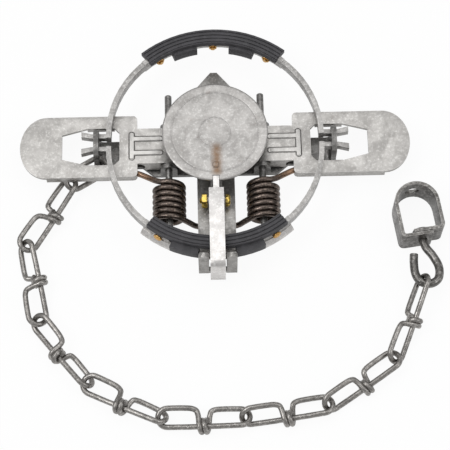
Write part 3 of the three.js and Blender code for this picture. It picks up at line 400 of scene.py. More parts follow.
def make_spring_material():
    material = metal("Spring wire", (0.15, 0.12, 0.105), (0.05, 0.042, 0.037),
                     (0.36, 0.29, 0.24), (220, 0.6, 0.25, 0.3, 0.0, 0.22, 0.4),
                     Oxide=(0.14, 0.06, 0.03, 1))
    tree, shader = shader_of(material)
    black = source(shader, "Base Color")
    place = object_place(tree)
    depth = add_node(tree, "ShaderNodeSeparateXYZ", {"Vector": place}).outputs["Y"]
    # The mask along the trap's depth lays the painted copper glint on the arms
    glint_mask = spread(tree, depth, ARM_BLACK_UNTIL, ARM_GLINT_FROM)
    glint_mask = times(tree, glint_mask, spread(
        tree, noise(tree, place, 300, 4, 0.6), 0.3, 0.6, 0.3, 0.85))
    feed(tree, shader, {"Base Color": mix_colour(tree, glint_mask, black, ARM_GLINT_BROWN)})
    return material


MATERIALS["spring"] = make_spring_material()
print("spring wire: black coils, brown arms")

# %% [markdown]
# The pan carries one mark that belongs to use, not to its maker: a brown rust streak that
# runs from near its middle towards the rivet. It could be painted on an image, but a node
# pattern needs no file. So it is a soft lane in X and Y, broken up by noise, laid over the
# same worn metal as the levers, and rust is rougher and less metallic than steel.

# %% Pan finish
RUST_X = 0.6 * MM
RUST_HALF_WIDTH = 4.6 * MM
RUST_NEAR = -27 * MM
RUST_FAR = -3 * MM
RUST_SWAY = 3 * MM
RUST = (0.27, 0.16, 0.085, 1)


def make_pan_material():
    material = metal("Pan steel", (0.42, 0.408, 0.395), (0.27, 0.258, 0.247), (0.62, 0.61, 0.595),
                     (85, 0.45, 0.75, 0.22, 0.6, 0.3, 0.5))
    tree, shader = shader_of(material)
    clean = source(shader, "Base Color")
    place = object_place(tree)
    warp = noise(tree, place, 260, 5, 0.7)
    split = add_node(tree, "ShaderNodeSeparateXYZ", {"Vector": place}).outputs
    sway = times(tree, math_node(tree, "SUBTRACT", warp, 0.5), RUST_SWAY)
    aside = math_node(tree, "ABSOLUTE", math_node(
        tree, "ADD", math_node(tree, "SUBTRACT", split["X"], RUST_X), sway))
    lane = spread(tree, aside, RUST_HALF_WIDTH, 0.0)
    reach = times(tree, spread(tree, split["Y"], RUST_NEAR, RUST_NEAR + 4 * MM),
                      spread(tree, split["Y"], RUST_FAR, RUST_FAR - 6 * MM))
    spots = spread(tree, noise(tree, place, 600, 5, 0.75), 0.25, 0.6, 0.55, 1.0)
    mask = times(tree, times(tree, lane, reach), spots)
    feed(tree, shader, {
        "Base Color": mix_colour(tree, times(tree, mask, 0.9), clean, RUST),
        "Roughness": math_node(tree, "ADD", source(shader, "Roughness"), times(tree, mask, 0.25)),
        "Metallic": math_node(tree, "SUBTRACT", 1.0, times(tree, mask, 0.6))})
    return material


MATERIALS["pan"] = make_pan_material()
print("pan finish: rust streak from", RUST_FAR / MM, "to", RUST_NEAR / MM, "mm in Y")

# %% [markdown]
# Each lever has a fork of ribs pressed into its neck. The ribs are in the CAD piece, square
# and low. A press leaves a rounded shoulder; the finish bumps it, paints shade along its foot
# and paints a highlight on its crest. Geometry could show the shoulder too, but it is less
# than a millimetre wide, so the finish does it. All three follow from one value: the distance
# from the ribs' middle lines.

# %% Lever finish
RIB_FROM, RIB_TO = 33 * MM, 50 * MM
RIB_ASIDE = 4.6 * MM
RIB_HALF_LENGTH = 7.6 * MM
RIB_CREST, RIB_FOOT = 1.2 * MM, 2.0 * MM
RIB_HEIGHT = 0.6 * MM
# Painted shade at the foot of the ribs and a painted highlight on their crest
RIB_PAINTED_SHADE = (0.16, 0.15, 0.14, 1)
RIB_PAINTED_HIGHLIGHT = (0.62, 0.61, 0.59, 1)


def add_ribs(material):
    tree, shader = shader_of(material)
    split = add_node(tree, "ShaderNodeSeparateXYZ", {"Vector": object_place(tree)}).outputs
    along = math_node(tree, "ABSOLUTE", split["X"])
    aside = math_node(tree, "ABSOLUTE", split["Y"])

    def distance(p, low, high, q):
        past = math_node(tree, "MAXIMUM", math_node(tree, "SUBTRACT", p, high),
                         math_node(tree, "SUBTRACT", low, p))
        past = math_node(tree, "MAXIMUM", past, 0.0)
        return math_node(tree, "SQRT", math_node(
            tree, "ADD", times(tree, past, past),
            times(tree, q, q)))

    prongs = distance(along, RIB_FROM, RIB_TO, math_node(tree, "SUBTRACT", aside, RIB_ASIDE))
    across = distance(aside, 0.0, RIB_HALF_LENGTH, math_node(tree, "SUBTRACT", along, RIB_TO))
    reach = math_node(tree, "MINIMUM", prongs, across)
    rise = spread(tree, reach, RIB_FOOT, RIB_CREST)
    outside = spread(tree, reach, RIB_FOOT + 0.5 * MM, RIB_FOOT - 0.1 * MM)
    inside = spread(tree, reach, RIB_CREST, RIB_FOOT - 0.2 * MM)
    foot = times(tree, outside, inside)
    # The foot of the rib is darkened as painted shade, and its crest lightened as a painted
    # highlight
    foot_in_painted_shade = mix_colour(tree, times(tree, foot, 0.22), source(shader, "Base Color"), RIB_PAINTED_SHADE)
    crest_highlight = spread(tree, rise, 0.75, 1.0, 0.0, 0.45)
    feed(tree, shader, {
        "Base Color": mix_colour(tree, crest_highlight, foot_in_painted_shade, RIB_PAINTED_HIGHLIGHT),
        "Normal": bump(tree, rise, 1.0, RIB_HEIGHT, source(shader, "Normal"))})


add_ribs(MATERIALS["lever"])
print("lever ribs:", RIB_HALF_LENGTH * 2 / MM, "mm across the neck")

# %% [markdown]
# Pressed and sheared steel never has a knife edge. A bevel modifier could round the pieces,
# but their triangles must be joined and the flat ones merged first, and after that the round
# is only one more call. The copy then stands for the node. A trimmed copy keeps its
# triangles, because merging them left a broken polygon.

# %% Rounded copies of the CAD pieces
SHARP = radians(32)
FLAT = radians(0.6)
JOIN_DISTANCE = 0.004 * MM
ROUND_SEGMENTS = 2
ROUND_PROFILE = 0.6


def is_sharp(edge, angle):
    return len(edge.link_faces) == 2 and edge.calc_face_angle(0) > angle


# Marks the sharp edges, shades the rest smooth and turns the shape into a mesh
def mesh_of(shape, mesh, angle=SHARP):
    for edge in shape.edges:
        edge.smooth = not is_sharp(edge, angle)
    if isinstance(mesh, str):
        mesh = bpy.data.meshes.new(mesh)
    shape.to_mesh(mesh)
    shape.free()
    mesh.polygons.foreach_set("use_smooth", [True] * len(mesh.polygons))
    return mesh


def new_piece(name, mesh, finish):
    mesh.name = name
    mesh.materials.clear()
    mesh.materials.append(MATERIALS[finish])
    return add_object(name, mesh)


def settle(piece, replaced):
    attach(piece, body_of_node[replaced[0]])
    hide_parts(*replaced)


# The width of the round is in millimetres
def dress(node, finish, width, trimmed=None):
    shape = bmesh.new()
    shape.from_mesh(trimmed or nodes[node].data)
    bmesh.ops.remove_doubles(shape, verts=shape.verts, dist=JOIN_DISTANCE)
    if trimmed is None:
        bmesh.ops.dissolve_limit(shape, angle_limit=FLAT, verts=shape.verts, edges=shape.edges)
    sharp = [edge for edge in shape.edges if is_sharp(edge, SHARP)]
    bmesh.ops.bevel(shape, geom=sharp, offset=width * MM, offset_type="OFFSET", affect="EDGES",
                    segments=ROUND_SEGMENTS, profile=ROUND_PROFILE, clamp_overlap=True)
    bmesh.ops.triangulate(shape, faces=[face for face in shape.faces if len(face.verts) > 4])
    settle(new_piece(f"{node}_finished", mesh_of(shape, node), finish), [node])


print("edges sharper than", round(degrees(SHARP)), "degrees are rounded")

# %% [markdown]
# The sheet-metal pieces are the base and cross strips, the levers, the bars of the jaws, the
# dog, the pan's shank, the rivets, the spring pins and the swivel's box. They could be
# modelled again, but their CAD shape is right, so they keep it. Only the width of the
# rounded edge differs, with the thickness of the stock.

# %% Pressed and sheared pieces
for side in ("right", "left"):
    dress(f"lever_{side}", "lever", 0.45)
    dress(f"rivet_{side}", "base", 0.3)
    dress(f"spring_pin_{side}", "base", 0.15)
for side in ("front", "back"):
    dress(f"jaw_{side}", "jaw", 0.4)
for node, finish, width in (("base_strip", "base", 0.45), ("cross_strip", "cross", 0.45),
                            ("dog", "dog", 0.35), ("pan_shank", "base", 0.2),
                            ("swivel_box", "swivel", 0.35)):
    dress(node, finish, width)
print("rounded copies of the CAD pieces are in place")

# %% [markdown]
# The springs, the chain and the hook are bent from round wire. Curve objects with a bevel
# could draw them, but one Geometry Nodes tree keeps every wire alike. It takes a line of
# points, spaces them evenly, sweeps a circle along them and closes the cut ends. The routes
# are worked out in Python from the sizes of the wire.

# %% The wire tree
WELD_DISTANCE = 0.002 * MM
WIRE_STEP = 0.8 * MM
WIRE_SIDES = 14


def start_tree(name, inputs):
    tree = bpy.data.node_groups.new(name, "GeometryNodeTree")
    for label, kind in inputs:
        tree.interface.new_socket(name=label, in_out="INPUT", socket_type=f"NodeSocket{kind}")
    tree.interface.new_socket(name="Result", in_out="OUTPUT", socket_type="NodeSocketGeometry")
    return tree, tree.nodes.new("NodeGroupInput").outputs


def end_tree(tree, geometry, material):
    real = add_node(tree, "GeometryNodeRealizeInstances", {"Geometry": geometry}).outputs[0]
    done = add_node(tree, "GeometryNodeSetMaterial", {
        "Geometry": real, "Material": material}).outputs[0]
    feed(tree, tree.nodes.new("NodeGroupOutput"), {"Result": done})
    return tree


def make_wire_tree():
    tree, given = start_tree("Wire along a route", (
        ("Route", "Geometry"), ("Wire radius", "Float"), ("Step", "Float"), ("Sides", "Int"),
        ("Material", "Material")))
    line = add_node(tree, "GeometryNodeMeshToCurve", {"Mesh": given["Route"]}).outputs[0]
    even = add_node(tree, "GeometryNodeResampleCurve", {
        "Curve": line, "Length": given["Step"]}, mode="LENGTH").outputs[0]
    section = add_node(tree, "GeometryNodeCurvePrimitiveCircle", {
        "Resolution": given["Sides"], "Radius": given["Wire radius"]}, mode="RADIUS").outputs[0]
    skin = add_node(tree, "GeometryNodeCurveToMesh", {
        "Curve": even, "Profile Curve": section, "Fill Caps": True}).outputs[0]
    soft = add_node(tree, "GeometryNodeSetShadeSmooth", {"Geometry": skin}).outputs[0]
    return end_tree(tree, soft, given["Material"])


WIRE_TREE = make_wire_tree()


def run_tree(holder, tree, values):
    modifier = holder.modifiers.new(tree.name, "NODES")
    modifier.node_group = tree
    for item in tree.interface.items_tree:
        if item.in_out == "INPUT" and item.name in values:
            modifier[item.identifier] = values[item.name]
    evaluated = holder.evaluated_get(bpy.context.evaluated_depsgraph_get())
    mesh = bpy.data.meshes.new_from_object(evaluated)
    bpy.data.objects.remove(holder)
    return mesh


def crease(mesh, angle=SHARP):
    shape = bmesh.new()
    shape.from_mesh(mesh)
    bmesh.ops.remove_doubles(shape, verts=shape.verts, dist=WELD_DISTANCE)
    bmesh.ops.recalc_face_normals(shape, faces=shape.faces)
    return mesh_of(shape, mesh, angle)


# A smooth line through points: a centripetal Catmull-Rom spline
def smooth_line(points, pieces, closed=False):
    count = len(points)
    result = []
    for i in range(count if closed else count - 1):
        if closed:
            a, b, c, d = (points[(i + k) % count] for k in (-1, 0, 1, 2))
        else:
            b, c = points[i], points[i + 1]
            a = points[i - 1] if i else b * 2 - c
            d = points[i + 2] if i + 2 < count else c * 2 - b
        gaps = [max(sqrt((q - p).length), 1e-4) for p, q in ((a, b), (b, c), (c, d))]
        leave = ((b - a) / gaps[0] - (c - a) / (gaps[0] + gaps[1]) + (c - b) / gaps[1]) * gaps[1]
        arrive = ((c - b) / gaps[1] - (d - b) / (gaps[1] + gaps[2]) + (d - c) / gaps[2]) * gaps[1]
        for k in range(pieces):
            t = k / pieces
            result.append(b * (2 * t**3 - 3 * t**2 + 1) + leave * (t**3 - 2 * t**2 + t)
                          + c * (3 * t**2 - 2 * t**3) + arrive * (t**3 - t**2))
    if not closed:
        result.append(points[-1].copy())
    return result


# One wire from points in millimetres: a smooth line through them, as thick as the wire
def wire_mesh(points, wire, finish, pieces=3, closed=False, sides=WIRE_SIDES):
    route = smooth_line(points, pieces, closed)
    mesh = bpy.data.meshes.new("route")
    count = len(route)
    edges = [(i, i + 1) for i in range(count - 1)] + ([(count - 1, 0)] if closed else [])
    mesh.from_pydata([p * MM for p in route], edges, [])
    return crease(run_tree(add_object("route", mesh), WIRE_TREE, {
        "Wire radius": wire / 2 * MM, "Step": WIRE_STEP, "Sides": sides,
        "Material": MATERIALS[finish]}))


print("wire tree:", len(WIRE_TREE.nodes), "nodes")

# %% [markdown]
# Each spring has six turns side by side. Its inner arm bears on the base, under the cross
# strip, and its outer arm lies in the hollow of the lever and pushes it up. It could be a
# coil and two arms as three pieces, but a spring is one wire, so one route runs through
# all.

# %% Springs
SPRING_WIRE = 3.5
SPRING_RADIUS = 10.1 - SPRING_WIRE / 2
SPRING_PITCH = 3.65
SPRING_TURNS = 6
SPRING_X, SPRING_Z, SPRING_BACK = 28, 10.6, 25
OUTER_DROP, INNER_LEAVE = 30, 55
ARM_POINTS = ((60, -15.4, 11), (53, -15.4, 11), (47.5, -16.2, 11.2), (40, -20.3, 13.2))
ARM_RISE_Y, ARM_RISE_BOW = -23.3, 0.4
INNER_LIFT = 0.3
INNER_END = 2
STEPS_PER_TURN = 24


def spring_route(end):
    turned = SPRING_TURNS * 360 + INNER_LEAVE + OUTER_DROP
    steps = round(turned / 360 * STEPS_PER_TURN)
    leave = radians(90 - OUTER_DROP)
    start_x = SPRING_X + SPRING_RADIUS * cos(leave)
    start_z = SPRING_Z + SPRING_RADIUS * sin(leave)
    bend = ARM_POINTS[-1]
    route = [*ARM_POINTS, ((start_x + bend[0]) / 2, ARM_RISE_Y,
                           (start_z + bend[2]) / 2 + ARM_RISE_BOW)]
    for i in range(steps + 1):
        angle = radians(90 - OUTER_DROP + turned * i / steps)
        route.append((SPRING_X + SPRING_RADIUS * cos(angle),
                      -SPRING_BACK - SPRING_PITCH * turned / 360 * i / steps,
                      SPRING_Z + SPRING_RADIUS * sin(angle)))
    last_x, last_y, last_z = route[-1]
    bottom = SPRING_WIRE / 2 + INNER_LIFT
    foot = last_x - (last_z - bottom) / tan(radians(INNER_LEAVE))
    route += [((last_x + foot) / 2, last_y, (last_z + bottom) / 2),
              (foot, last_y, bottom + SPRING_WIRE / 8),
              (INNER_END + SPRING_WIRE / 2, last_y, bottom)]
    return [Vector((end * x, y, z)) for x, y, z in route]


for side, end in (("right", 1), ("left", -1)):
    mesh = wire_mesh(spring_route(end), SPRING_WIRE, "spring")
    spring = new_piece(f"spring_{side}_wire", mesh, "spring")
    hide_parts(f"spring_{side}")
    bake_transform(spring)
print("springs:", SPRING_TURNS, "turns each")

# %% [markdown]
# The chain is made of double-loop links. One length of wire makes a loop, crosses the
# middle, makes a loop at the other end and comes back. Its two ends are then wound tight
# round the shank between the loops. One link could be copied along the chain, but on the
# floor each lies with its own roll, and two loops that meet must cross. So every link's
# route is worked out from its two junctions and the roll of both loops.

# %% Chain routes
CHAIN_WIRE = 3.2
CHAIN_START = (-87.3, -18.9, 5.1)
LINK_LEVEL = 5.6
LOOP_HALF_WIDTH = 5.4
LOOP_OVERLAP = 2.3
HOOK_OVERLAP = 4.45
START_ROLL = 30
NEAR_ROLLS = (30, 46, 40, 16, 24, 46, 46, 46)
FAR_ROLLS = (16, 20, 50, 42, 18, 18, 22, 60)
KNOT_WRAP = 3.35
KNOT_TURNS = 0.9
KNOT_START, KNOT_ADVANCE = -1.9, 4.6
KNOT_STEPS, BOW_STEPS = 26, 12
SHOULDERS = ((0.07, 0.66), (0.2, 0.92), (0.38, 1.0))
LINK_PITCH = 47.6
HEADINGS = (-122.9, -80.1, -52.8, -27.2, -0.7, 7.6, 34.2, 66.9)
SHANK_SIDES = (1, 1, -1, -1, -1, -1, -1, -1)
HOOK_LEVEL = 9.5

junctions = [Vector(CHAIN_START)]
for i, heading in enumerate(HEADINGS):
    angle = radians(heading)
    level = HOOK_LEVEL if i == len(HEADINGS) - 1 else LINK_LEVEL
    last = junctions[-1]
    junctions.append(Vector((last.x + LINK_PITCH * cos(angle),
                             last.y + LINK_PITCH * sin(angle), level)))


def link_axes(start, end):
    along = (end - start).normalized()
    aside = Vector((-along.y, along.x, 0)).normalized()
    return along, aside, along.cross(aside)


def link_route(start, end, shank_side, roll_near, roll_far, far_overlap):
    along, aside, up = link_axes(start, end)
    middle, half = (start + end) / 2, (end - start).length / 2

    def put(u, v, w):
        return middle + along * u + aside * (v * shank_side) + up * (w * shank_side)

    loops = ((-1, radians(-roll_near), half + LOOP_OVERLAP - LOOP_HALF_WIDTH),
             (1, radians(roll_far), half + far_overlap - LOOP_HALF_WIDTH))
    shank = [Vector((way * bow, LOOP_HALF_WIDTH * cos(roll),
                     -LOOP_HALF_WIDTH * sin(roll))) for way, roll, bow in loops]
    halves = []
    for way, roll, bow in loops:
        line = []
        turn = 1 if roll > 0 else -1
        for i in range(KNOT_STEPS + 1):
            angle = pi / 2 - 2 * pi * KNOT_TURNS * (1 - i / KNOT_STEPS)
            u = way * (KNOT_START + KNOT_ADVANCE * i / KNOT_STEPS)
            core = shank[0].lerp(shank[1], (u - shank[0].x) / (shank[1].x - shank[0].x))
            line.append(put(u, core.y + KNOT_WRAP * cos(angle),
                            core.z + turn * KNOT_WRAP * sin(angle)))
        knot_end = KNOT_START + KNOT_ADVANCE
        for share, reach in SHOULDERS:
            upper = LOOP_HALF_WIDTH * reach
            line.append(put(way * (knot_end + (bow - knot_end) * share),
                            -upper * cos(roll), upper * sin(roll)))
        for i in range(BOW_STEPS + 1):
            angle = pi / 2 - pi * i / BOW_STEPS
            across = LOOP_HALF_WIDTH * sin(angle)
            line.append(put(way * (bow + LOOP_HALF_WIDTH * cos(angle)),
                            -across * cos(roll), across * sin(roll)))
        halves.append(line)
    return halves[0] + halves[1][::-1]


def ring_route(start, end, roll, near_overlap, far_overlap):
    along, aside, up = link_axes(start, end)
    middle, half = (start + end) / 2, (end - start).length / 2
    tilt = radians(roll)
    route = []
    for way, overlap in ((-1, near_overlap), (1, far_overlap)):
        for i in range(BOW_STEPS + 1):
            angle = pi / 2 - pi * i / BOW_STEPS
            u = way * (half + overlap - LOOP_HALF_WIDTH + LOOP_HALF_WIDTH * cos(angle))
            s = way * LOOP_HALF_WIDTH * sin(angle)
            route.append(middle + along * u + aside * (s * cos(tilt))
                         + up * (s * sin(tilt)))
    return route


print("junctions between the links:", len(junctions))

# %% [markdown]
# The chain starts with a plain ring, closed through the slot in the base's post. Then the
# eight links follow. The whole chain could be one mesh, but each link swings on a body of its
# own, so each is a piece.

# %% Chain pieces
POST_SLOT = (-71, -9.8, 7)
POST_OVERLAP = 5.5

ring = ring_route(Vector(POST_SLOT), junctions[0], -START_ROLL, POST_OVERLAP, LOOP_OVERLAP)
mesh = wire_mesh(ring, CHAIN_WIRE, "chain", closed=True)
settle(new_piece("connector_wire", mesh, "chain"), ["connector_link"])
for i in range(len(HEADINGS)):
    at_hook = i == len(HEADINGS) - 1
    route = link_route(junctions[i], junctions[i + 1], SHANK_SIDES[i], NEAR_ROLLS[i],
                       FAR_ROLLS[i], HOOK_OVERLAP if at_hook else LOOP_OVERLAP)
    mesh = wire_mesh(route, CHAIN_WIRE, "chain")
    settle(new_piece(f"chain_wire_{i + 1}", mesh, "chain"), [f"chain_link_{i + 1}"])
print("chain:", len(HEADINGS), "double-loop links and one ring")

# %% [markdown]
# The hook is a thicker wire. Its straight shank passes through the floor of the box and has
# a forged head inside, so that it turns there and takes the twist out of the chain. The head
# could be a plain disc, but forging leaves it domed, so it is turned from a profile. Every
# profile here is a list of radius and height, both in millimetres.

# %% Swivel hook
UP = Vector((0, 0, 1))
HOOK_ROD = 5
HOOK_BOW = 7.2
HOOK_SIDES = 20
HOOK_TURN = 5
BOX_HEADING = 98
BOW_ASIDE, BOW_BELOW = 1.5, 20.2
SHANK_TOP, SHANK_BEND = 5.9, -0.3
HOOK_HEAD = ((0, 0), (4.7, 0), (5.2, 0.4), (5.2, 1.2), (4.6, 2.0), (3.4, 2.45), (1.6, 2.6),
             (0, 2.6))
HOOK_HEAD_START = 4.6


def heading_vector(heading):
    return Vector((cos(radians(heading)), sin(radians(heading)), 0))


bow_centre = junctions[-1] + heading_vector(HEADINGS[-1] - HOOK_TURN) * HOOK_BOW
box_along = heading_vector(BOX_HEADING)
box_across = Vector((box_along.y, -box_along.x, 0))
box_origin = bow_centre + box_across * BOW_ASIDE + box_along * BOW_BELOW


def at_box(across, along):
    place = box_origin + box_across * across + box_along * along
    return Vector((place.x, place.y, HOOK_LEVEL))


def turned(name, profile, start=(0, 0, 0), axis=UP, sides=32):
    shape = bmesh.new()
    start = Vector(start) * MM
    axis = axis.normalized()
    side = axis.orthogonal().normalized()
    other = axis.cross(side)
    rings = []
    for radius, height in profile:
        radius, height = radius * MM, height * MM
        centre = start + axis * height
        if not radius:
            rings.append([shape.verts.new(centre)])
            continue
        rings.append([shape.verts.new(centre + (side * cos(a) + other * sin(a)) * radius)
                      for a in (2 * pi * k / sides for k in range(sides))])
    for lower, upper in zip(rings, rings[1:]):
        for k in range(sides):
            n = (k + 1) % sides
            corners = [lower[k % len(lower)], lower[n % len(lower)],
                       upper[n % len(upper)], upper[k % len(upper)]]
            unique = list(dict.fromkeys(corners))
            if len(unique) > 2:
                shape.faces.new(unique)
    bmesh.ops.recalc_face_normals(shape, faces=shape.faces)
    return mesh_of(shape, name)


def join_shapes(name, meshes):
    shape = bmesh.new()
    for mesh in meshes:
        shape.from_mesh(mesh)
    return mesh_of(shape, name)


bow_x, bow_y = -BOW_ASIDE, -BOW_BELOW
bow_side = HOOK_BOW * sqrt(0.5)
hook_route = [at_box(*place) for place in (
    (0, SHANK_TOP), (0, SHANK_BEND), (HOOK_ROD / 6, -HOOK_ROD),
    (bow_x + bow_side, bow_y + HOOK_BOW + HOOK_ROD / 2), (bow_x + HOOK_BOW, bow_y + HOOK_ROD / 3),
    (bow_x + bow_side, bow_y - bow_side), (bow_x, bow_y - HOOK_BOW),
    (bow_x - bow_side, bow_y - bow_side),
    (bow_x - HOOK_BOW, bow_y), (bow_x - HOOK_BOW * 0.93, bow_y + HOOK_BOW),
    (bow_x - HOOK_BOW * 0.78, bow_y + HOOK_BOW + HOOK_ROD))]
hook_wire = wire_mesh(hook_route, HOOK_ROD, "swivel", pieces=8, sides=HOOK_SIDES)
hook_head = turned("hook_head", HOOK_HEAD, at_box(0, HOOK_HEAD_START), box_along)
settle(new_piece("swivel_hook_forged", join_shapes("hook", [hook_wire, hook_head]), "swivel"),
       ["swivel_hook"])
print("hook: bow radius", HOOK_BOW, "mm")

# %% [markdown]
# The pan is a pressed disc. Its face is left plain, with two shallow pressed rings where a
# real one has its stamping, and a softly rounded rim. Rounding the CAD disc would give no
# rings, so it is turned from a profile, then the notch for the dog's tongue and the rivet
# hole are cut out of it.

# %% Pan
PAN_CENTRE = (0, 2.5, 0)
PAN_SIDES = 144
PAN_SHARP = radians(40)
NOTCH_LOW, NOTCH_HIGH = (-2.05, -30, 25), (2.05, -25.6, 29)
RIVET_PLACE = (0, -19, 0)
RIVET_HOLE = ((0, 25), (1.8, 25), (1.8, 29), (0, 29))
SMALL_SIDES = 24
PAN_PROFILE = (
    (0, 26), (28, 26), (31.0, 26), (31.4, 26.25), (31.5, 26.7), (31.45, 27.2), (31.1, 27.5),
    (30.6, 27.6), (28, 27.6), (26.5, 27.6), (26.3, 27.56), (26.1, 27.48), (25.9, 27.45),
    (25.7, 27.48), (25.5, 27.56), (25.3, 27.6), (18, 27.6), (10.0, 27.6), (9.85, 27.57),
    (9.65, 27.5), (9.5, 27.48), (9.35, 27.5), (9.15, 27.57), (9.0, 27.6), (5, 27.6), (0, 27.6),
)


def cut(mesh, cutters):
    block = add_object("block", mesh)
    tools = []
    for cutter in cutters:
        tool = add_object("cutter", cutter)
        modifier = block.modifiers.new("Cut", "BOOLEAN")
        modifier.operation = "DIFFERENCE"
        modifier.solver = "EXACT"
        modifier.object = tool
        tools.append(tool)
    result = bpy.data.meshes.new_from_object(
        block.evaluated_get(bpy.context.evaluated_depsgraph_get()))
    for item in [block, *tools]:
        bpy.data.objects.remove(item)
    return result


def slab(low, high):
    shape = bmesh.new()
    bmesh.ops.create_cube(shape, size=1)
    for vert in shape.verts:
        vert.co = Vector(((low[k] + high[k]) / 2 + vert.co[k] * (high[k] - low[k])) * MM
                         for k in range(3))
    return mesh_of(shape, "slab")


disc = turned("disc", PAN_PROFILE, PAN_CENTRE, sides=PAN_SIDES)
rivet_hole = turned("hole", RIVET_HOLE, RIVET_PLACE, sides=SMALL_SIDES)
pan = crease(cut(disc, [slab(NOTCH_LOW, NOTCH_HIGH), rivet_hole]), PAN_SHARP)
settle(new_piece("pan_disc", pan, "pan"), ["pan"])
dress("pan_rivet", "pan", 0.15)
print("pan:", 2 * max(radius for radius, height in PAN_PROFILE), "mm across")

# %% [markdown]
# The rubber is moulded round the jaw's bar, with ribs along its top. Its inner flap stops
# short of the bolts, so that their nuts bear on bare steel, and the cap is narrower than the
# flap on the side that faces the camera. A new pad would have to repeat the CAD pad's ribs,
# so the waste is cut from a copy of it with curved blocks. Under the front pad lies a short
# flared apron, made from a profile in the bright steel of the dog, which is painted light on
# a piece that lies in shade.

# %% Rubber pads
JAW_CENTRE_Y = 4.2
CAP_EDGES = {"front": (65.5, 80), "back": (40, 59.7)}
CAP_LOW = 21.2
CUT_STEP = 0.06          # keeps two cuts from sharing one face
FLAP_ARCS = ((-43, -24), (-9.5, 9.5), (24, 43))
FLAP_TOP = 20.6
BAR_INNER = 61.98
WASTE_INNER, WASTE_LOW, WASTE_HIGH = 50, 5, 41
CAP_OVERCUT = 0.4
CAP_HALF_ARC = 45
APRON_HALF_ARC = 42
APRON_PROFILE = ((64.7, 10.2), (67.4, 10.2), (67.8, 10.6), (66.4, 13.0), (65.4, 14.0),
                 (64.7, 14.0))


def arc_band(profile, start, end, way):
    shape = bmesh.new()
    steps = max(4, round(abs(end - start) / 2))
    rings = []
    for i in range(steps + 1):
        angle = radians(start + (end - start) * i / steps - 90)
        ring = []
        for reach, z in profile:
            x, y = reach * cos(angle), reach * sin(angle) - JAW_CENTRE_Y
            ring.append(shape.verts.new(Vector((x * way, y * way, z)) * MM))
        rings.append(ring)
    for a, b in zip(rings, rings[1:]):
        for k in range(len(profile)):
            n = (k + 1) % len(profile)
            shape.faces.new((a[k], a[n], b[n], b[k]))
    shape.faces.new(rings[0])
    shape.faces.new(rings[-1][::-1])
    bmesh.ops.recalc_face_normals(shape, faces=shape.faces)
    return mesh_of(shape, "arc")


def oblong(inner, outer, low, high):
    return (inner, low), (outer, low), (outer, high), (inner, high)


for side, way in (("front", 1), ("back", -1)):
    inner, outer = CAP_EDGES[side]
    flap = oblong(WASTE_INNER, BAR_INNER, WASTE_LOW, FLAP_TOP)
    under_cap = oblong(inner + way * CUT_STEP, outer + way * CUT_STEP, WASTE_LOW,
                       CAP_LOW + CAP_OVERCUT)
    waste = [arc_band(flap, start, end, way) for start, end in FLAP_ARCS]
    waste += [arc_band(under_cap, start, end, way) for start, end in FLAP_ARCS]
    waste.append(arc_band(oblong(inner, outer, CAP_LOW, WASTE_HIGH), -CAP_HALF_ARC, CAP_HALF_ARC,
                          way))
    trimmed = cut(nodes[f"rubber_{side}"].data.copy(), waste)
    dress(f"rubber_{side}", "rubber", 0.22, trimmed)
# The apron's bright steel is painted light: the apron itself lies in shade under the pad
apron = new_piece("front_jaw_apron", arc_band(APRON_PROFILE, -APRON_HALF_ARC, APRON_HALF_ARC, 1),
                  "dog")
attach(apron, body_of_node["jaw_front"])
print("rubber pads are trimmed at their bolts")

# %% [markdown]
# Six small bolts and nuts hold the rubber to the jaws. They could be copied by hand, but
# they repeat, so one Geometry Nodes tree sets a bolt or a nut on every point of a row and
# turns it along the point's own direction. The hexagon nut made here also serves the pan's
# bolt, and the threaded rod is for that bolt alone.

# %% Fastener tree
NUT_SHARP = radians(25)
NUT_SIDES = 36
NUT_FACE = 0.97          # the round end of a nut, as a share of its width across flats
THREAD_DEPTH = 0.86      # the bottom of a thread, as a share of its outer radius
ROD_TIP = 0.7            # the flat tip of a rod, as a share of its radius
ROD_SIDES = 20


def make_row_tree():
    tree, given = start_tree("Fasteners in a row", (
        ("Places", "Geometry"), ("Fastener", "Object"), ("Outward", "String"),
        ("Material", "Material")))
    fastener = add_node(tree, "GeometryNodeObjectInfo", {
        "Object": given["Fastener"]}, transform_space="ORIGINAL").outputs["Geometry"]
    outward = add_node(tree, "GeometryNodeInputNamedAttribute", {
        "Name": given["Outward"]}, data_type="FLOAT_VECTOR").outputs["Attribute"]
    turn = add_node(tree, "FunctionNodeAlignRotationToVector", {
        "Vector": outward}, axis="Z").outputs[0]
    row = add_node(tree, "GeometryNodeInstanceOnPoints", {
        "Points": given["Places"], "Instance": fastener, "Rotation": turn}).outputs[0]
    return end_tree(tree, row, given["Material"])


ROW_TREE = make_row_tree()


# A hexagon nut: flat sides, a round chamfer at both ends, and a bore
def hex_nut(radius, thickness, bore, chamfer):
    flat = radius * cos(pi / 6)
    shape = bmesh.new()

    def ring(reach, height, six):
        verts = []
        for k in range(NUT_SIDES):
            a = 2 * pi * k / NUT_SIDES
            off = (a + pi / 6) % (pi / 3) - pi / 6
            r = min(reach, flat / cos(off)) if six else reach
            verts.append(shape.verts.new(Vector((r * cos(a), r * sin(a), height)) * MM))
        return verts

    rings = [ring(bore, 0, False), ring(flat * NUT_FACE, 0, False),
             ring(radius, chamfer, True), ring(radius, thickness - chamfer, True),
             ring(flat * NUT_FACE, thickness, False), ring(bore + chamfer / 2, thickness, False),
             ring(bore, thickness - chamfer / 2, False)]
    for lower, upper in zip(rings, rings[1:] + rings[:1]):
        for k in range(NUT_SIDES):
            n = (k + 1) % NUT_SIDES
            shape.faces.new((lower[k], lower[n], upper[n], upper[k]))
    bmesh.ops.recalc_face_normals(shape, faces=shape.faces)
    return mesh_of(shape, "nut", NUT_SHARP)


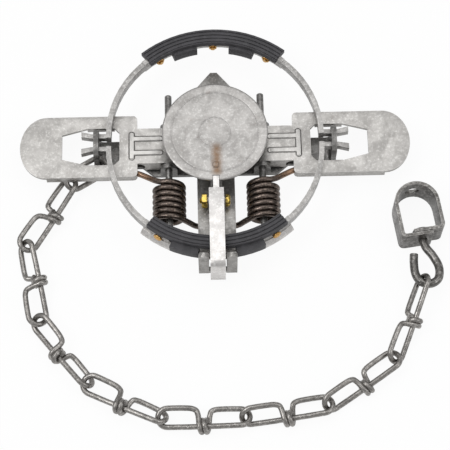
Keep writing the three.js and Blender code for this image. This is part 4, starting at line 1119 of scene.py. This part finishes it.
def threaded_rod(radius, length, pitch, tip):
    profile = [(0, 0), (radius, 0)]
    height = pitch
    while height < length - tip:
        profile += [(radius * THREAD_DEPTH, height), (radius, height + pitch / 2)]
        height += pitch
    profile += [(radius * ROD_TIP, length), (0, length)]
    return turned("rod", profile, sides=ROD_SIDES)


print("fastener tree:", len(ROW_TREE.nodes), "nodes")

# %% [markdown]
# The pad bolts have low domed heads outside the bar and hexagon nuts inside it. The CAD
# bolts could be rounded like the strips, but the domes are what shows. So head, shank and
# nut are turned from profiles, and each jaw gets one row of bolts and one of nuts.

# %% Pad bolts and nuts
BOLT_ANGLES = (-32, 0, 32)
BOLT_HEIGHT = 16.8
HEAD_REACH = 65.5
NUT_REACH = 61.95
BOLT_HEAD = ((0, 0), (2.7, 0), (2.72, 0.35), (2.6, 0.75), (2.1, 1.2), (1.4, 1.48), (0.7, 1.58),
             (0, 1.6))
BOLT_SHANK = ((0, -6.4), (1.2, -6.4), (1.5, -6.1), (1.5, 0.1), (0, 0.1))
bolt_mesh = join_shapes("bolt", [turned("head", BOLT_HEAD, sides=SMALL_SIDES),
                                 turned("shank", BOLT_SHANK, sides=ROD_SIDES)])
nut_mesh = hex_nut(radius=2.7, thickness=1.9, bore=1.75, chamfer=0.3)


def fastener_row(name, mesh, reach, way, outward, replaced):
    places = bpy.data.meshes.new(f"{name}_places")
    points, directions = [], []
    for aside in BOLT_ANGLES:
        direction = heading_vector(aside - 90)
        place = direction * reach + Vector((0, -JAW_CENTRE_Y, BOLT_HEIGHT))
        points.append(Vector((place.x * way, place.y * way, place.z)) * MM)
        directions.append(direction * way * outward)
    places.from_pydata(points, [], [])
    attribute = places.attributes.new("outward", "FLOAT_VECTOR", "POINT")
    attribute.data.foreach_set("vector", [c for d in directions for c in d])
    holder = add_object(places.name, places)
    pattern = add_object("pattern", mesh)
    row = run_tree(holder, ROW_TREE, {"Fastener": pattern, "Outward": "outward",
                                      "Material": MATERIALS["bronze"]})
    bpy.data.objects.remove(pattern)
    settle(new_piece(name, crease(row, NUT_SHARP), "bronze"), replaced)


for jaw, way in (("front", 1), ("back", -1)):
    sides = ("left", "middle", "right")
    fastener_row(f"{jaw}_bolts", bolt_mesh, HEAD_REACH, way, 1,
                 [f"{jaw}_pad_bolt_{side}" for side in sides])
    fastener_row(f"{jaw}_nuts", nut_mesh, NUT_REACH, way, -1,
                 [f"{jaw}_pad_nut_{side}" for side in sides])
print("pad bolts:", 2 * len(BOLT_ANGLES))

# %% [markdown]
# The pan turns on one larger bolt, which lies across the trap. Its thread could be a bump,
# but its end stands free, so nut and thread are real shapes, made upright and then laid
# along the pivot.

# %% Pan bolt
PAN_PIVOT = (-36, 13.4)
PAN_FACE = 5.4
ROD_IN_HEAD = 0.1
PAN_BOLT_HEAD = ((0, 0), (3.6, 0), (3.75, 0.3), (3.75, 1.4), (3.5, 2.1), (2.9, 2.6), (1.8, 2.9),
                 (0, 3.0))
RIGHT, LEFT = Vector((1, 0, 0)), Vector((-1, 0, 0))


def laid(mesh, x):
    turn = UP.rotation_difference(LEFT).to_matrix().to_4x4()
    mesh.transform(Matrix.Translation(Vector((x, *PAN_PIVOT)) * MM) @ turn)
    return mesh


pan_nut = laid(hex_nut(radius=4.6, thickness=3.4, bore=2.0, chamfer=0.45), -PAN_FACE)
settle(new_piece("pan_nut_hex", pan_nut, "brass"), ["pan_nut"])
pan_head = turned("head", PAN_BOLT_HEAD, (PAN_FACE, *PAN_PIVOT), RIGHT)
pan_rod = laid(threaded_rod(radius=1.7, length=15.5, pitch=0.7, tip=0.7), PAN_FACE + ROD_IN_HEAD)
settle(new_piece("pan_bolt_brass", join_shapes("pan_bolt", [pan_head, pan_rod]), "brass"),
       ["pan_bolt"])
print("pan bolt and nut are in place")

# %% [markdown]
# The trap lies on a seamless pale floor under soft light. A shadow catcher would need work
# after the render. So the floor looks near white to the camera and in reflections, yet it
# still takes the object's shadow, because only part of what the camera sees is plain white.

# %% Floor, light and world
WHITE_SEEN = 0.93
WHITE_REFLECTED = 0.4
FLOOR_SIZE = 3
FLOOR_DROP = 0.05 * MM
SKY_GREY = 0.76
SKY_STRENGTH = 0.72


def make_floor():
    shape = bmesh.new()
    bmesh.ops.create_grid(shape, x_segments=1, y_segments=1, size=FLOOR_SIZE)
    floor = add_object("Floor", mesh_of(shape, "Floor"))
    floor.location.z = -FLOOR_DROP
    material, tree, paper = start_material("Pale floor")
    feed(tree, paper, {"Base Color": grey(0.9), "Roughness": 0.9})
    glow = add_node(tree, "ShaderNodeEmission", {"Color": grey(1.0), "Strength": 1.0})
    path = tree.nodes.new("ShaderNodeLightPath").outputs
    seen = times(tree, path["Is Camera Ray"], WHITE_SEEN)
    reflected = times(tree, path["Is Glossy Ray"], WHITE_REFLECTED)
    both = add_node(tree, "ShaderNodeMixShader", {
        0: math_node(tree, "MAXIMUM", seen, reflected), 1: paper.outputs[0],
        2: glow.outputs[0]})
    feed(tree, tree.nodes["Material Output"], {"Surface": both.outputs[0]})
    floor.data.materials.append(material)


def soft_light(name, place, aim, size, watts):
    data = bpy.data.lights.new(name, "AREA")
    data.shape = "RECTANGLE"
    data.size, data.size_y = size
    data.energy = watts
    lamp = add_object(name, data)
    lamp.location = place
    lamp.rotation_mode = "QUATERNION"
    lamp.rotation_quaternion = (Vector(aim) - Vector(place)).to_track_quat("-Z", "Y")


make_floor()
soft_light("Key", (-0.9, -0.2, 1.3), (0, -0.04, 0), (0.8, 0.8), 7)
soft_light("Fill", (1.1, -0.4, 1.1), (0, -0.04, 0), (0.8, 0.8), 3.2)
soft_light("Overhead", (0.0, 0.75, 1.8), (0, 0, 0), (1.9, 1.3), 8.5)

world = bpy.data.worlds.new("Studio")
bpy.context.scene.world = world
world.use_nodes = True
sky = world.node_tree
feed(sky, sky.nodes["Background"], {"Color": grey(SKY_GREY), "Strength": SKY_STRENGTH})
bpy.context.scene.view_settings.view_transform = "Standard"
print("floor, three lamps and a plain sky are in place")
